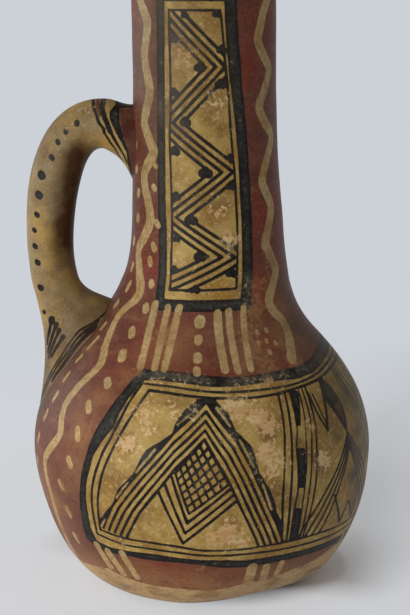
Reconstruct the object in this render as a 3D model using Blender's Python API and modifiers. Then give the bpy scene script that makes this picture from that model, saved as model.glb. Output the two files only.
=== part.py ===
"""Hand-built earthenware bottle vase with one loop handle.

The pot is raised from a flat slab in courses of clay that meet on slanted joints.
The handle is a bent roll, bonded to the neck and the shoulder by collars of luting clay.
Metres, +Z up, the foot centred on the origin and the handle on the -X side.
"""
import math

import bmesh
import bpy
from mathutils import Vector
from mathutils.geometry import interpolate_bezier

# Outline of the pot: each rise is measured from the station below it
FOOT_RADIUS = 0.053
BELLY_RADIUS = 0.1014
BELLY_RISE = 0.083
BELLY_FULLNESS = 1.75
SHOULDER_RADIUS = 0.070
SHOULDER_RISE = 0.067
SHOULDER_SLOPE = -0.96
WAIST_RADIUS = 0.0439
WAIST_RISE = 0.080
WAIST_SLOPE = -0.064
NECK_RADIUS = 0.0418
NECK_RISE = 0.115
LIP_RADIUS = 0.0465
LIP_RISE = 0.036
LIP_SLOPE = 0.28

# Thickness of the clay
WALL = 0.008
FLOOR = 0.0095

# Joints between the courses
BASE_JOINT_HEIGHT = 0.007
JOINT_BELOW_BELLY = 0.034
JOINT_ABOVE_BELLY = 0.018
JOINT_ABOVE_SHOULDER = 0.028
JOINT_ABOVE_WAIST = 0.008
JOINT_ABOVE_NECK = 0.006
JOINT_SLANT = 0.004
JOINT_GAP = 0.0003

# Handle: a roll whose ends are cut to the wall
HANDLE_DIAMETER = 0.0276
HANDLE_TOP_ABOVE_WAIST = 0.041
HANDLE_FOOT_BELOW_SHOULDER = 0.012
HANDLE_BULGE = 0.0115
HANDLE_DROP = 0.056
HANDLE_ARM = 0.037
HANDLE_LIFT = 0.015
HANDLE_ARCH = 0.043
HANDLE_FALL = 0.030
HANDLE_FOOT_REACH = 0.022
HANDLE_FOOT_LEAN = 0.008
HANDLE_SEAT = 0.003

# Collars of luting clay round the handle's ends: each lap is how far a collar spreads beyond the roll
COLLAR_EDGE = 0.0009
COLLAR_SINK = 0.004
UPPER_COLLAR_LENGTH = 0.013
UPPER_COLLAR_LAP = 0.0087
UPPER_COLLAR_SIDE_LAP = 0.0042
UPPER_COLLAR_SAG = 0.0055
LOWER_COLLAR_LENGTH = 0.038
LOWER_COLLAR_LAP = 0.0312
LOWER_COLLAR_SIDE_LAP = 0.0062
LOWER_COLLAR_TILT = math.radians(36)
UPPER_COLLAR_HALF_HEIGHT = HANDLE_DIAMETER / 2 + UPPER_COLLAR_LAP
UPPER_COLLAR_HALF_WIDTH = HANDLE_DIAMETER / 2 + UPPER_COLLAR_SIDE_LAP
LOWER_COLLAR_HALF_HEIGHT = HANDLE_DIAMETER / 2 + LOWER_COLLAR_LAP
LOWER_COLLAR_HALF_WIDTH = HANDLE_DIAMETER / 2 + LOWER_COLLAR_SIDE_LAP

# Facets
TURN_STEPS = 48
ROLL_SIDES = 20
COLLAR_RINGS = 6

RED_SLIP = (0.145, 0.062, 0.053, 1.0)
DARK_SLIP = (0.040, 0.026, 0.022, 1.0)
BUFF_SLIP = (0.305, 0.228, 0.133, 1.0)
BARE_CLAY = (0.250, 0.130, 0.080, 1.0)

BELLY_HEIGHT = BELLY_RISE
SHOULDER_HEIGHT = BELLY_HEIGHT + SHOULDER_RISE
WAIST_HEIGHT = SHOULDER_HEIGHT + WAIST_RISE
NECK_HEIGHT = WAIST_HEIGHT + NECK_RISE
LIP_HEIGHT = NECK_HEIGHT + LIP_RISE


def hermite(height, low, high):
    """Radius at a height between two stations, each (height, radius, slope)."""
    span = high[0] - low[0]
    t = (height - low[0]) / span
    rise = t * t * (3.0 - 2.0 * t)
    leave = t * (1.0 - t) * (1.0 - t)
    arrive = t * t * (t - 1.0)
    return low[1] + rise * (high[1] - low[1]) + span * (leave * low[2] + arrive * high[2])


def outer_radius(height):
    """Outer radius of the pot: a rounded bowl below the girth, smooth cubics above it."""
    stations = (
        (BELLY_HEIGHT, BELLY_RADIUS, 0.0),
        (SHOULDER_HEIGHT, SHOULDER_RADIUS, SHOULDER_SLOPE),
        (WAIST_HEIGHT, WAIST_RADIUS, WAIST_SLOPE),
        (NECK_HEIGHT, NECK_RADIUS, 0.0),
        (LIP_HEIGHT, LIP_RADIUS, LIP_SLOPE),
    )
    if height <= BELLY_HEIGHT:
        fall = (BELLY_HEIGHT - height) / BELLY_RISE
        return FOOT_RADIUS + (BELLY_RADIUS - FOOT_RADIUS) * math.sqrt(max(0.0, 1.0 - fall ** BELLY_FULLNESS))
    for low, high in zip(stations, stations[1:]):
        if height <= high[0]:
            return hermite(height, low, high)
    return LIP_RADIUS + (height - LIP_HEIGHT) * LIP_SLOPE


def outward(height):
    """Unit normal (radial, up) of the outer surface at a height."""
    step = 0.0001
    slope = (outer_radius(height + step) - outer_radius(height - step)) / (2.0 * step)
    return Vector((1.0, -slope)).normalized()


def wall_point(height, depth):
    """Point (radius, height) at a depth under the outer surface; a negative depth lies outside."""
    normal = outward(height)
    return Vector((outer_radius(height), height)) - depth * normal


def joint_heights(height, side):
    """Heights where a joint meets the outer and the inner face, on one side (+1, -1) of its gap."""
    heights = []
    for level in (height, height + JOINT_SLANT):
        heights.append(level + side * 0.5 * JOINT_GAP * outward(level)[0])
    return heights


def spread(start, end, steps):
    return [start + (end - start) * i / steps for i in range(steps + 1)]


def make_material(name, color, roughness):
    material = bpy.data.materials.new(name)
    material.use_nodes = True
    shader = material.node_tree.nodes["Principled BSDF"]
    shader.inputs["Base Color"].default_value = color
    shader.inputs["Roughness"].default_value = roughness
    shader.inputs["Metallic"].default_value = 0.0
    return material


def add_object(name, mesh, collection, material=None):
    item = bpy.data.objects.new(name, mesh)
    collection.objects.link(item)
    if material:
        mesh.materials.append(material)
    return item


def turned(name, profile, closed, collection, material=None):
    """Solid of revolution about Z from a profile of (radius, height) points, outer side downwards."""
    mesh = bpy.data.meshes.new(name)
    edges = [(i, i + 1) for i in range(len(profile) - 1)]
    if closed:
        edges.append((len(profile) - 1, 0))
    mesh.from_pydata([(radius, 0.0, height) for radius, height in profile], edges, [])
    item = add_object(name, mesh, collection, material)
    screw = item.modifiers.new("Turn", "SCREW")
    screw.axis = "Z"
    screw.angle = math.tau
    screw.steps = TURN_STEPS
    screw.render_steps = TURN_STEPS
    screw.use_merge_vertices = True
    screw.merge_threshold = 0.00001
    screw.use_smooth_shade = True
    return item


def as_guide(item):
    """Cutters are left out of the finished vase."""
    item.hide_render = True
    item.display_type = "WIRE"
    return item


def cut(item, cutter):
    boolean = item.modifiers.new("Cut by " + cutter.name, "BOOLEAN")
    boolean.operation = "DIFFERENCE"
    boolean.solver = "EXACT"
    boolean.object = cutter


def make_base_slab(collection, material):
    outer_top, inner_top = joint_heights(BASE_JOINT_HEIGHT, -1)
    fall_angle = math.acos(max(0.0, 1.0 - outer_top / BELLY_RISE))
    profile = [wall_point(inner_top, WALL)]
    for angle in spread(fall_angle, 0.0, 4):
        height = BELLY_HEIGHT * (1.0 - math.cos(angle))
        profile.append(Vector((outer_radius(height), height)))
    profile.append(Vector((0.0, 0.0)))
    profile = [Vector((0.0, FLOOR)), Vector((FOOT_RADIUS, FLOOR))] + profile
    return turned("base_slab", profile, False, collection, material)


def make_course(name, bottom, top, steps, collection, material):
    """Ring of wall between two joints, with both joint faces slanting up to the inside."""
    outer_low, inner_low = joint_heights(bottom, 1)
    outer_high, inner_high = joint_heights(top, -1)
    profile = [wall_point(height, 0.0) for height in spread(outer_high, outer_low, steps)]
    profile += [wall_point(height, WALL) for height in spread(inner_low, inner_high, steps)]
    return turned(name, profile, True, collection, material)


def make_rim(bottom, steps, collection, material):
    """Last coil: the wall flares a little and ends in a round lip."""
    outer_low, inner_low = joint_heights(bottom, 1)
    across = outward(LIP_HEIGHT)
    along = Vector((-across[1], across[0]))
    crown = wall_point(LIP_HEIGHT, WALL / 2)
    profile = []
    for angle in spread(math.pi, 0.0, 8):
        profile.append(crown + (across * math.cos(angle) + along * math.sin(angle)) * (WALL / 2))
    profile += [wall_point(height, 0.0) for height in spread(LIP_HEIGHT, outer_low, steps)[1:]]
    profile += [wall_point(height, WALL) for height in spread(inner_low, LIP_HEIGHT, steps)[:-1]]
    return turned("rim", profile, True, collection, material)


def make_wall_cutter(collection):
    """Solid pot, one gap larger all round, that trims what is bonded to the wall."""
    heights = spread(NECK_HEIGHT, WAIST_HEIGHT, 3) + spread(WAIST_HEIGHT, SHOULDER_HEIGHT, 7)[1:]
    heights += spread(SHOULDER_HEIGHT, BELLY_HEIGHT / 2, 9)[1:]
    profile = [Vector((0.0, heights[0]))]
    profile += [wall_point(height, -JOINT_GAP) for height in heights]
    profile.append(Vector((0.0, heights[-1])))
    return as_guide(turned("wall_cutter", profile, False, collection))


def handle_stations():
    """Bezier points (point, arriving arm, leaving arm) of the roll, in the plane of the handle."""
    top_height = WAIST_HEIGHT + HANDLE_TOP_ABOVE_WAIST
    foot_height = SHOULDER_HEIGHT - HANDLE_FOOT_BELOW_SHOULDER
    foot_radius = outer_radius(foot_height)
    top = Vector((HANDLE_SEAT - outer_radius(top_height), 0.0, top_height))
    bulge = Vector((-foot_radius - HANDLE_BULGE, 0.0, top_height - HANDLE_DROP))
    foot = Vector((HANDLE_SEAT - foot_radius, 0.0, foot_height))
    leave_top = Vector((-HANDLE_ARM, 0.0, HANDLE_LIFT))
    down = Vector((0.0, 0.0, -1.0))
    arrive_foot = Vector((-HANDLE_FOOT_LEAN, 0.0, HANDLE_FOOT_REACH))
    return (
        (top, top - leave_top, top + leave_top),
        (bulge, bulge - HANDLE_ARCH * down, bulge + HANDLE_FALL * down),
        (foot, foot + arrive_foot, foot - arrive_foot),
    )


def handle_roll(name, radius, collection):
    """Roll of clay along the handle's centre line, as a closed mesh."""
    curve = bpy.data.curves.new(name + "_line", "CURVE")
    curve.dimensions = "3D"
    curve.resolution_u = 9
    curve.bevel_depth = radius
    curve.bevel_resolution = ROLL_SIDES // 2 - 2
    curve.use_fill_caps = True
    spline = curve.splines.new("BEZIER")
    spline.bezier_points.add(2)
    for knot, (point, arrive, leave) in zip(spline.bezier_points, handle_stations()):
        knot.handle_left_type = "FREE"
        knot.handle_right_type = "FREE"
        knot.co = point
        knot.handle_left = arrive
        knot.handle_right = leave
    line = add_object(name + "_line", curve, collection)
    bpy.context.view_layer.update()
    evaluated = line.evaluated_get(bpy.context.evaluated_depsgraph_get())
    mesh = bpy.data.meshes.new_from_object(evaluated)
    mesh.name = name
    bpy.data.objects.remove(line)
    build = bmesh.new()
    build.from_mesh(mesh)
    bmesh.ops.remove_doubles(build, verts=build.verts, dist=0.00001)
    build.to_mesh(mesh)
    build.free()
    mesh.shade_smooth()
    mesh.set_sharp_from_angle(angle=math.radians(40))
    return add_object(name, mesh, collection)


def point_on_handle(distance, from_top):
    """Point and direction away from the wall, at a distance along the roll from one of its ends."""
    top, bulge, foot = handle_stations()
    steps = 64
    if from_top:
        line = interpolate_bezier(top[0], top[2], bulge[1], bulge[0], steps)
    else:
        line = interpolate_bezier(foot[0], foot[1], bulge[2], bulge[0], steps)
    walked = 0.0
    for start, end in zip(line, line[1:]):
        length = (end - start).length
        if walked + length >= distance:
            return start + (end - start) * ((distance - walked) / length), (end - start) / length
        walked += length
    return line[-1], (line[-1] - line[-2]).normalized()


def roll_oval(centre, tall, wide):
    """Ring of points round the roll; tall is a vector in the handle's plane."""
    ring = []
    for side in range(ROLL_SIDES):
        angle = math.tau * side / ROLL_SIDES
        ring.append(centre + tall * math.cos(angle) + Vector((0.0, wide * math.sin(angle), 0.0)))
    return ring


def wall_oval(height, half_height, half_width):
    """Ring of points COLLAR_SINK inside the wall on the handle's side, starting at its top."""
    upright = outward(height)[0]
    ring = []
    for side in range(ROLL_SIDES):
        angle = math.tau * side / ROLL_SIDES
        level = height + half_height * upright * math.cos(angle)
        radius, sunk_level = wall_point(level, COLLAR_SINK)
        turn = half_width * math.sin(angle) / outer_radius(level)
        ring.append(Vector((-radius * math.cos(turn), radius * math.sin(turn), sunk_level)))
    return ring


def wall_seat(height):
    """Point COLLAR_SINK inside the wall on the handle's side."""
    radius, sunk_level = wall_point(height, COLLAR_SINK)
    return Vector((-radius, 0.0, sunk_level))


def loft(name, far_centre, far, near_centre, near, collection):
    """Collar from a far ring on the roll to a near ring in the wall, flaring towards the wall."""
    build = bmesh.new()
    rings = []
    for step in range(COLLAR_RINGS + 1):
        t = step / COLLAR_RINGS
        flare = t * t
        centre = far_centre.lerp(near_centre, t)
        ring = []
        for start, end in zip(far, near):
            ring.append(build.verts.new(centre + (start - far_centre).lerp(end - near_centre, flare)))
        rings.append(ring)
    for upper, lower in zip(rings, rings[1:]):
        for side in range(ROLL_SIDES):
            after = (side + 1) % ROLL_SIDES
            build.faces.new((upper[side], upper[after], lower[after], lower[side]))
    build.faces.new(rings[0])
    bmesh.ops.poke(build, faces=[build.faces.new(rings[-1])])
    bmesh.ops.recalc_face_normals(build, faces=build.faces)
    mesh = bpy.data.meshes.new(name)
    build.to_mesh(mesh)
    build.free()
    mesh.shade_smooth()
    mesh.set_sharp_from_angle(angle=math.radians(40))
    return add_object(name, mesh, collection)


def make_upper_luting(collection):
    centre, away = point_on_handle(UPPER_COLLAR_LENGTH, True)
    across = Vector((away.z, 0.0, -away.x))
    reach = HANDLE_DIAMETER / 2 + JOINT_GAP + COLLAR_EDGE
    far = roll_oval(centre, across * reach, reach)
    height = WAIST_HEIGHT + HANDLE_TOP_ABOVE_WAIST
    near = wall_oval(height - UPPER_COLLAR_SAG, UPPER_COLLAR_HALF_HEIGHT, UPPER_COLLAR_HALF_WIDTH)
    return loft("handle_upper_luting", centre, far, wall_seat(height), near, collection)


def make_lower_luting(collection):
    centre, away = point_on_handle(LOWER_COLLAR_LENGTH, False)
    across = Vector((away.z, 0.0, -away.x))
    reach = HANDLE_DIAMETER / 2 + JOINT_GAP + COLLAR_EDGE
    tilted = across * math.cos(LOWER_COLLAR_TILT) + away * math.sin(LOWER_COLLAR_TILT)
    far = roll_oval(centre, tilted * (reach / math.cos(LOWER_COLLAR_TILT)), reach)
    height = SHOULDER_HEIGHT - HANDLE_FOOT_BELOW_SHOULDER
    near = wall_oval(height, LOWER_COLLAR_HALF_HEIGHT, LOWER_COLLAR_HALF_WIDTH)
    return loft("handle_lower_luting", centre, far, wall_seat(height), near, collection)


for existing in list(bpy.data.objects):
    bpy.data.objects.remove(existing)

vase_parts = bpy.data.collections.new("bottle_vase")
cutters = bpy.data.collections.new("cutters")
bpy.context.scene.collection.children.link(vase_parts)
bpy.context.scene.collection.children.link(cutters)

red_slip = make_material("red_slip", RED_SLIP, 0.5)
dark_slip = make_material("dark_slip", DARK_SLIP, 0.45)
buff_slip = make_material("buff_slip", BUFF_SLIP, 0.5)
bare_clay = make_material("bare_clay", BARE_CLAY, 0.8)

lower_joint = BELLY_HEIGHT - JOINT_BELOW_BELLY
girth_joint = BELLY_HEIGHT + JOINT_ABOVE_BELLY
neck_joint = SHOULDER_HEIGHT + JOINT_ABOVE_SHOULDER
waist_joint = WAIST_HEIGHT + JOINT_ABOVE_WAIST
rim_joint = NECK_HEIGHT + JOINT_ABOVE_NECK

pieces = [
    make_base_slab(vase_parts, bare_clay),
    make_course("lower_belly", BASE_JOINT_HEIGHT, lower_joint, 6, vase_parts, red_slip),
    make_course("middle_belly", lower_joint, girth_joint, 5, vase_parts, red_slip),
    make_course("shoulder", girth_joint, neck_joint, 8, vase_parts, red_slip),
    make_course("neck_lower", neck_joint, waist_joint, 5, vase_parts, dark_slip),
    make_course("neck_upper", waist_joint, rim_joint, 4, vase_parts, dark_slip),
    make_rim(rim_joint, 4, vase_parts, dark_slip),
]

wall_cutter = make_wall_cutter(cutters)
roll_cutter = as_guide(handle_roll("roll_cutter", HANDLE_DIAMETER / 2 + JOINT_GAP, cutters))
handle = handle_roll("handle", HANDLE_DIAMETER / 2, vase_parts)
upper_luting = make_upper_luting(vase_parts)
lower_luting = make_lower_luting(vase_parts)
for bonded in (handle, upper_luting, lower_luting):
    bonded.data.materials.append(buff_slip)
    cut(bonded, wall_cutter)
for collar in (upper_luting, lower_luting):
    cut(collar, roll_cutter)
pieces += [handle, upper_luting, lower_luting]

vase = bpy.data.objects.new("vase", None)
vase_parts.objects.link(vase)
for piece in pieces:
    piece.parent = vase
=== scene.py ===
import math

import bpy
import numpy as np
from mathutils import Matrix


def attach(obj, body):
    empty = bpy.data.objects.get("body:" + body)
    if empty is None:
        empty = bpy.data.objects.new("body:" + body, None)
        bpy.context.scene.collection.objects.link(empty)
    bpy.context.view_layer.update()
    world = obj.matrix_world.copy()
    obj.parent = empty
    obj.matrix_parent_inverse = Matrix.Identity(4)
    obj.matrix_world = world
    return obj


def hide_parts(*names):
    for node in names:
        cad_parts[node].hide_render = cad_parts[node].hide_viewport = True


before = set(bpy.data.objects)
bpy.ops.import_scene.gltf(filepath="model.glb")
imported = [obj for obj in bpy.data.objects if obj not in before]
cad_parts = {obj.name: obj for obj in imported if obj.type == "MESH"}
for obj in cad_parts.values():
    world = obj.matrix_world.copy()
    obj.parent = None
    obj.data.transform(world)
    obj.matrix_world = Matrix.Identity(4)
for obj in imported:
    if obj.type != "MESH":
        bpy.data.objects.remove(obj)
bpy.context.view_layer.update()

# Base slab: the disc of coarse clay that the pot was raised on, patted flat on a board.
# It is fired earthenware, left bare and scraped underneath, with a brushed band round its edge.
# Its slanted edge carries the first course of the wall.
FOOT_RADIUS = 0.053
GIRTH_RADIUS = 0.1014
GIRTH_HEIGHT = 0.083
BOWL_FULLNESS = 1.75
# Height, radius and slope of the wall at the girth, shoulder, waist, neck and lip
STATIONS = (
    (GIRTH_HEIGHT, GIRTH_RADIUS, 0.0),
    (0.150, 0.0700, -0.96),
    (0.230, 0.0439, -0.064),
    (0.345, 0.0418, 0.0),
    (0.381, 0.0465, 0.28),
)
WALL = 0.008
FLOOR = 0.0095
BASE_JOINT = 0.007
JOINT_SLANT = 0.004
BASE_STEPS = 420
BASE_TOP_RINGS = 8
BASE_UNDER_RINGS = 10
ROW = 0.00078
POT_HEIGHT = 0.386
# How far the axis of the hand-built pot wanders sideways, at heights up the pot
LEAN = ((0.0, -0.0003), (0.040, 0.0001), (0.083, -0.0010), (0.120, -0.0010), (0.150, -0.0009),
        (0.180, 0.0010), (0.205, 0.0025), (0.240, 0.0016), (0.300, 0.0007), (0.386, -0.0004))
LEAN_RANGE = 0.008
DENT_DEPTH = 0.0005
DENT_SIZE = 0.045
DENT_SEED = 4.7
LIFT_PLACE = (0.032, -0.050, 0.0)
LIFT_HEIGHT = 0.0036
LIFT_REACH = 0.050
HUB = 0.02
WELD = 0.000001
SLOPE_STEP = 0.0001
WALK_STEPS = 2000
SHARP_DEGREES = 50.0


def outer_radius(height):
    """Radius of the outer wall: a full bowl below the girth, smooth cubics above it."""
    height = np.asarray(height, float)
    fall = np.clip((GIRTH_HEIGHT - height) / GIRTH_HEIGHT, 0.0, 1.0)
    radius = FOOT_RADIUS + (GIRTH_RADIUS - FOOT_RADIUS) * np.sqrt(1.0 - fall ** BOWL_FULLNESS)
    for (low, low_radius, low_slope), (high, high_radius, high_slope) in zip(STATIONS, STATIONS[1:]):
        span = high - low
        t = np.clip((height - low) / span, 0.0, 1.0)
        swell = low_radius + t * t * (3.0 - 2.0 * t) * (high_radius - low_radius)
        bend = t * (1.0 - t) ** 2 * low_slope + t * t * (t - 1.0) * high_slope
        radius = np.where(height > low, swell + span * bend, radius)
    return radius


def wall_slope(height):
    """How fast the outer wall widens with height."""
    return (outer_radius(height + SLOPE_STEP) - outer_radius(height - SLOPE_STEP)) / (2.0 * SLOPE_STEP)


def wall_points(heights, depth):
    """Points (radius, height) at a depth under the outer wall."""
    heights = np.asarray(heights, float)
    slope = wall_slope(heights)
    long = np.sqrt(1.0 + slope * slope)
    return np.stack([outer_radius(heights) - depth / long, heights + depth * slope / long], axis=1)


def even_heights(high, low, spacing):
    """Heights from high to low, evenly spaced along the outer wall."""
    fine = np.linspace(high, low, WALK_STEPS)
    walked = np.concatenate([[0.0], np.cumsum(np.hypot(np.diff(outer_radius(fine)), np.diff(fine)))])
    count = max(2, int(walked[-1] / spacing) + 1)
    return np.interp(np.linspace(0.0, walked[-1], count + 1), walked, fine)


class Lead:
    """An output of a node. Sums on it add Math nodes, and node() adds any other node to its tree."""

    def __init__(self, tree, socket):
        self.tree = tree
        self.socket = socket

    def node(self, kind, settings=None, values=None, output=0):
        made = self.tree.nodes.new(kind)
        for name, value in (settings or {}).items():
            setattr(made, name, value)
        for place, value in (values or {}).items():
            if isinstance(value, Lead):
                self.tree.links.new(value.socket, made.inputs[place])
            else:
                made.inputs[place].default_value = value
        return Lead(self.tree, made.outputs[output])

    def math(self, operation, first, second=0.0, clamp=False):
        settings = {"operation": operation, "use_clamp": clamp}
        return self.node("ShaderNodeMath", settings, {0: first, 1: second})

    def __add__(self, other):
        return self.math("ADD", self, other)

    def __radd__(self, other):
        return self.math("ADD", other, self)

    def __sub__(self, other):
        return self.math("SUBTRACT", self, other)

    def __rsub__(self, other):
        return self.math("SUBTRACT", other, self)

    def __mul__(self, other):
        return self.math("MULTIPLY", self, other)

    def __rmul__(self, other):
        return self.math("MULTIPLY", other, self)

    def __truediv__(self, other):
        return self.math("DIVIDE", self, other)

    def __rtruediv__(self, other):
        return self.math("DIVIDE", other, self)

    def clamped(self):
        return self.math("ADD", self, 0.0, True)


def new_tree(name, inputs):
    """An empty Geometry Nodes tree with named inputs, and a lead for each of them."""
    tree = bpy.data.node_groups.new(name, "GeometryNodeTree")
    for label, kind in inputs:
        tree.interface.new_socket(label, in_out="INPUT", socket_type=kind)
    tree.interface.new_socket("Shape", in_out="OUTPUT", socket_type="NodeSocketGeometry")
    source = tree.nodes.new("NodeGroupInput")
    return tree, {socket.name: Lead(tree, socket) for socket in source.outputs if socket.name}


HAND_INPUTS = (
    ("Dent depth", "NodeSocketFloat"),
    ("Dent size", "NodeSocketFloat"),
    ("Seed", "NodeSocketFloat"),
    ("Finish", "NodeSocketMaterial"),
)


def hand_shaping_tree():
    """Leans and dents a true shape as hands do, and keeps the true place of each point."""
    tree, given = new_tree("hand_shaping", (("Shape", "NodeSocketGeometry"),) + HAND_INPUTS)
    shape = given["Shape"]
    place = shape.node("GeometryNodeInputPosition")
    keep = {"data_type": "FLOAT_VECTOR", "domain": "POINT"}
    shape = shape.node("GeometryNodeStoreNamedAttribute", keep,
                       {"Geometry": shape, "Name": "true_place", "Value": place})
    scale = 1.0 / given["Dent size"]
    noise = place.node("ShaderNodeTexNoise", {"noise_dimensions": "4D"},
                       {"Vector": place, "W": given["Seed"], "Scale": scale, "Detail": 1.0})
    level = place.node("ShaderNodeVectorMath", {"operation": "MULTIPLY"}, {0: place, 1: (1.0, 1.0, 0.0)})
    outward = place.node("ShaderNodeVectorMath", {"operation": "NORMALIZE"}, {0: level})
    push = (noise - 0.5) * 2.0 * given["Dent depth"]
    gap = place.node("ShaderNodeVectorMath", {"operation": "DISTANCE"}, {0: place, 1: LIFT_PLACE}, "Value")
    near = (1.0 - gap / LIFT_REACH).clamped()
    lift = near * near * (3.0 - 2.0 * near) * LIFT_HEIGHT
    dent = place.node("ShaderNodeVectorMath", {"operation": "SCALE"}, {0: outward, "Scale": push})
    height = place.node("ShaderNodeSeparateXYZ", None, {0: place}, "Z")
    curve = place.node("ShaderNodeFloatCurve", None, {"Value": height / POT_HEIGHT})
    mapping = curve.socket.node.mapping
    line = mapping.curves[0]
    while len(line.points) < len(LEAN):
        line.points.new(0.5, 0.5)
    for point, (level_up, lean) in zip(line.points, LEAN):
        point.location = (level_up / POT_HEIGHT, 0.5 + lean / LEAN_RANGE)
    mapping.update()
    lean = place.node("ShaderNodeCombineXYZ", None, {"X": (curve - 0.5) * LEAN_RANGE, "Z": lift})
    move = place.node("ShaderNodeVectorMath", {"operation": "ADD"}, {0: dent, 1: lean})
    shape = shape.node("GeometryNodeSetPosition", None, {"Geometry": shape, "Offset": move})
    shape = shape.node("GeometryNodeSetShadeSmooth", None, {"Geometry": shape})
    shape = shape.node("GeometryNodeRealizeInstances", None, {"Geometry": shape})
    shape.node("GeometryNodeSetMaterial", None, {"Geometry": shape, "Material": given["Finish"]})
    finished = tree.nodes[-1].outputs[0]
    tree.links.new(finished, tree.nodes.new("NodeGroupOutput").inputs[0])
    return tree


def turned_tree(shaping):
    """Turns the section of a course round the pot's axis, then shapes it by hand."""
    inputs = (("Section", "NodeSocketGeometry"), ("Steps round", "NodeSocketInt"))
    inputs += (("Hub", "NodeSocketFloat"), ("Weld", "NodeSocketFloat")) + HAND_INPUTS
    tree, given = new_tree("turned_course", inputs)
    section = given["Section"].node("GeometryNodeMeshToCurve", None, {0: given["Section"]})
    ring = section.node("GeometryNodeCurvePrimitiveCircle", None,
                        {"Resolution": given["Steps round"], "Radius": given["Hub"]})
    ring = ring.node("GeometryNodeSetCurveNormal", {"mode": "Z_UP"}, {0: ring})
    shape = ring.node("GeometryNodeCurveToMesh", None, {"Curve": ring, "Profile Curve": section})
    shape = shape.node("GeometryNodeMergeByDistance", None, {"Geometry": shape, "Distance": given["Weld"]})
    values = {label: given[label] for label, kind in HAND_INPUTS}
    values["Shape"] = shape
    shape = shape.node("GeometryNodeGroup", {"node_tree": shaping}, values)
    tree.links.new(shape.socket, tree.nodes.new("NodeGroupOutput").inputs[0])
    return tree


hand_shaping = hand_shaping_tree()
turned_course = turned_tree(hand_shaping)


def run_tree(name, mesh, tree, values):
    """Runs a tree on a mesh and returns the plain result as an object at the origin."""
    draft = bpy.data.objects.new(name + "_draft", mesh)
    bpy.context.scene.collection.objects.link(draft)
    modifier = draft.modifiers.new("shaping", "NODES")
    modifier.node_group = tree
    hand = {"Dent depth": DENT_DEPTH, "Dent size": DENT_SIZE, "Seed": DENT_SEED}
    values = {**hand, **values}
    for item in tree.interface.items_tree:
        if item.in_out == "INPUT" and item.name in values:
            modifier[item.identifier] = values[item.name]
    evaluated = draft.evaluated_get(bpy.context.evaluated_depsgraph_get())
    made = bpy.data.meshes.new_from_object(evaluated)
    bpy.data.objects.remove(draft)
    made.name = name + "_clay"
    made.set_sharp_from_angle(angle=math.radians(SHARP_DEGREES))
    piece = bpy.data.objects.new(name + "_clay", made)
    bpy.context.scene.collection.objects.link(piece)
    return piece


def raise_course(name, section, outside, steps, finish, closed=True):
    """A ring of wall turned from its section, points (radius, height) down the outside and up the inside."""
    count = len(section)
    mesh = bpy.data.meshes.new(name + "_section")
    edges = [(i, (i + 1) % count) for i in range(count if closed else count - 1)]
    mesh.from_pydata([(radius - HUB, -height, 0.0) for radius, height in section], edges, [])
    flag = mesh.attributes.new("outside", "FLOAT", "POINT")
    flag.data.foreach_set("value", np.asarray(outside, float))
    values = {"Steps round": steps, "Hub": HUB, "Weld": WELD, "Finish": finish}
    return run_tree(name, mesh, turned_course, values)


def srgb(red, green, blue):
    """A colour as a paint chip shows it, for a shader."""
    chip = [channel / 255.0 for channel in (red, green, blue)]
    return tuple(c / 12.92 if c <= 0.04045 else ((c + 0.055) / 1.055) ** 2.4 for c in chip) + (1.0,)


RED_SLIP = srgb(118, 58, 43)
RED_SLIP_DULL = srgb(106, 66, 52)
RED_SLIP_DARK = srgb(78, 36, 30)
RED_SLIP_BRIGHT = srgb(146, 46, 32)
RED_SLIP_THIN = srgb(148, 106, 70)
BUFF_SLIP = srgb(178, 149, 84)
BUFF_SLIP_DEEP = srgb(152, 116, 52)
BUFF_SLIP_BROWN = srgb(122, 92, 50)
BUFF_SLIP_PALE = srgb(214, 184, 138)
STRIPE_SLIP = srgb(172, 148, 102)
FOOT_SLIP = srgb(200, 166, 116)
BLACK_SLIP = srgb(20, 13, 13)
BLACK_SLIP_THICK = srgb(24, 24, 23)
BLACK_SLIP_GREY = srgb(82, 80, 70)
BARE_SCAR = srgb(194, 148, 100)
BARE_CLAY = srgb(158, 118, 84)
BARE_CLAY_DARK = srgb(116, 82, 58)
# Olive-grey of soot on the pot, also used for the painted shade on its wall
SOOT_AND_SHADE = srgb(74, 65, 49)
GRIT = srgb(56, 40, 26)
# How many marks each metre of slip has: washes, clouds of the brush, specks and grains
WASH_MARKS = 20.0
CLOUD_MARKS = 75.0
SPECK_MARKS = 400.0
GRAIN_MARKS = 1300.0
GRIME_MARKS = 48.0
PIT_MARKS = 650.0
FLECK_MARKS = 520.0
STREAK_MARKS = 55.0
EDGE_MARKS = 130.0
SLIP_SPECULAR = 0.14
SLIP_ROUGHNESS = 0.48
RESIN_ROUGHNESS = 0.20
RELIEF_STRENGTH = 0.55
RELIEF_HEIGHT = 0.0010


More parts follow.
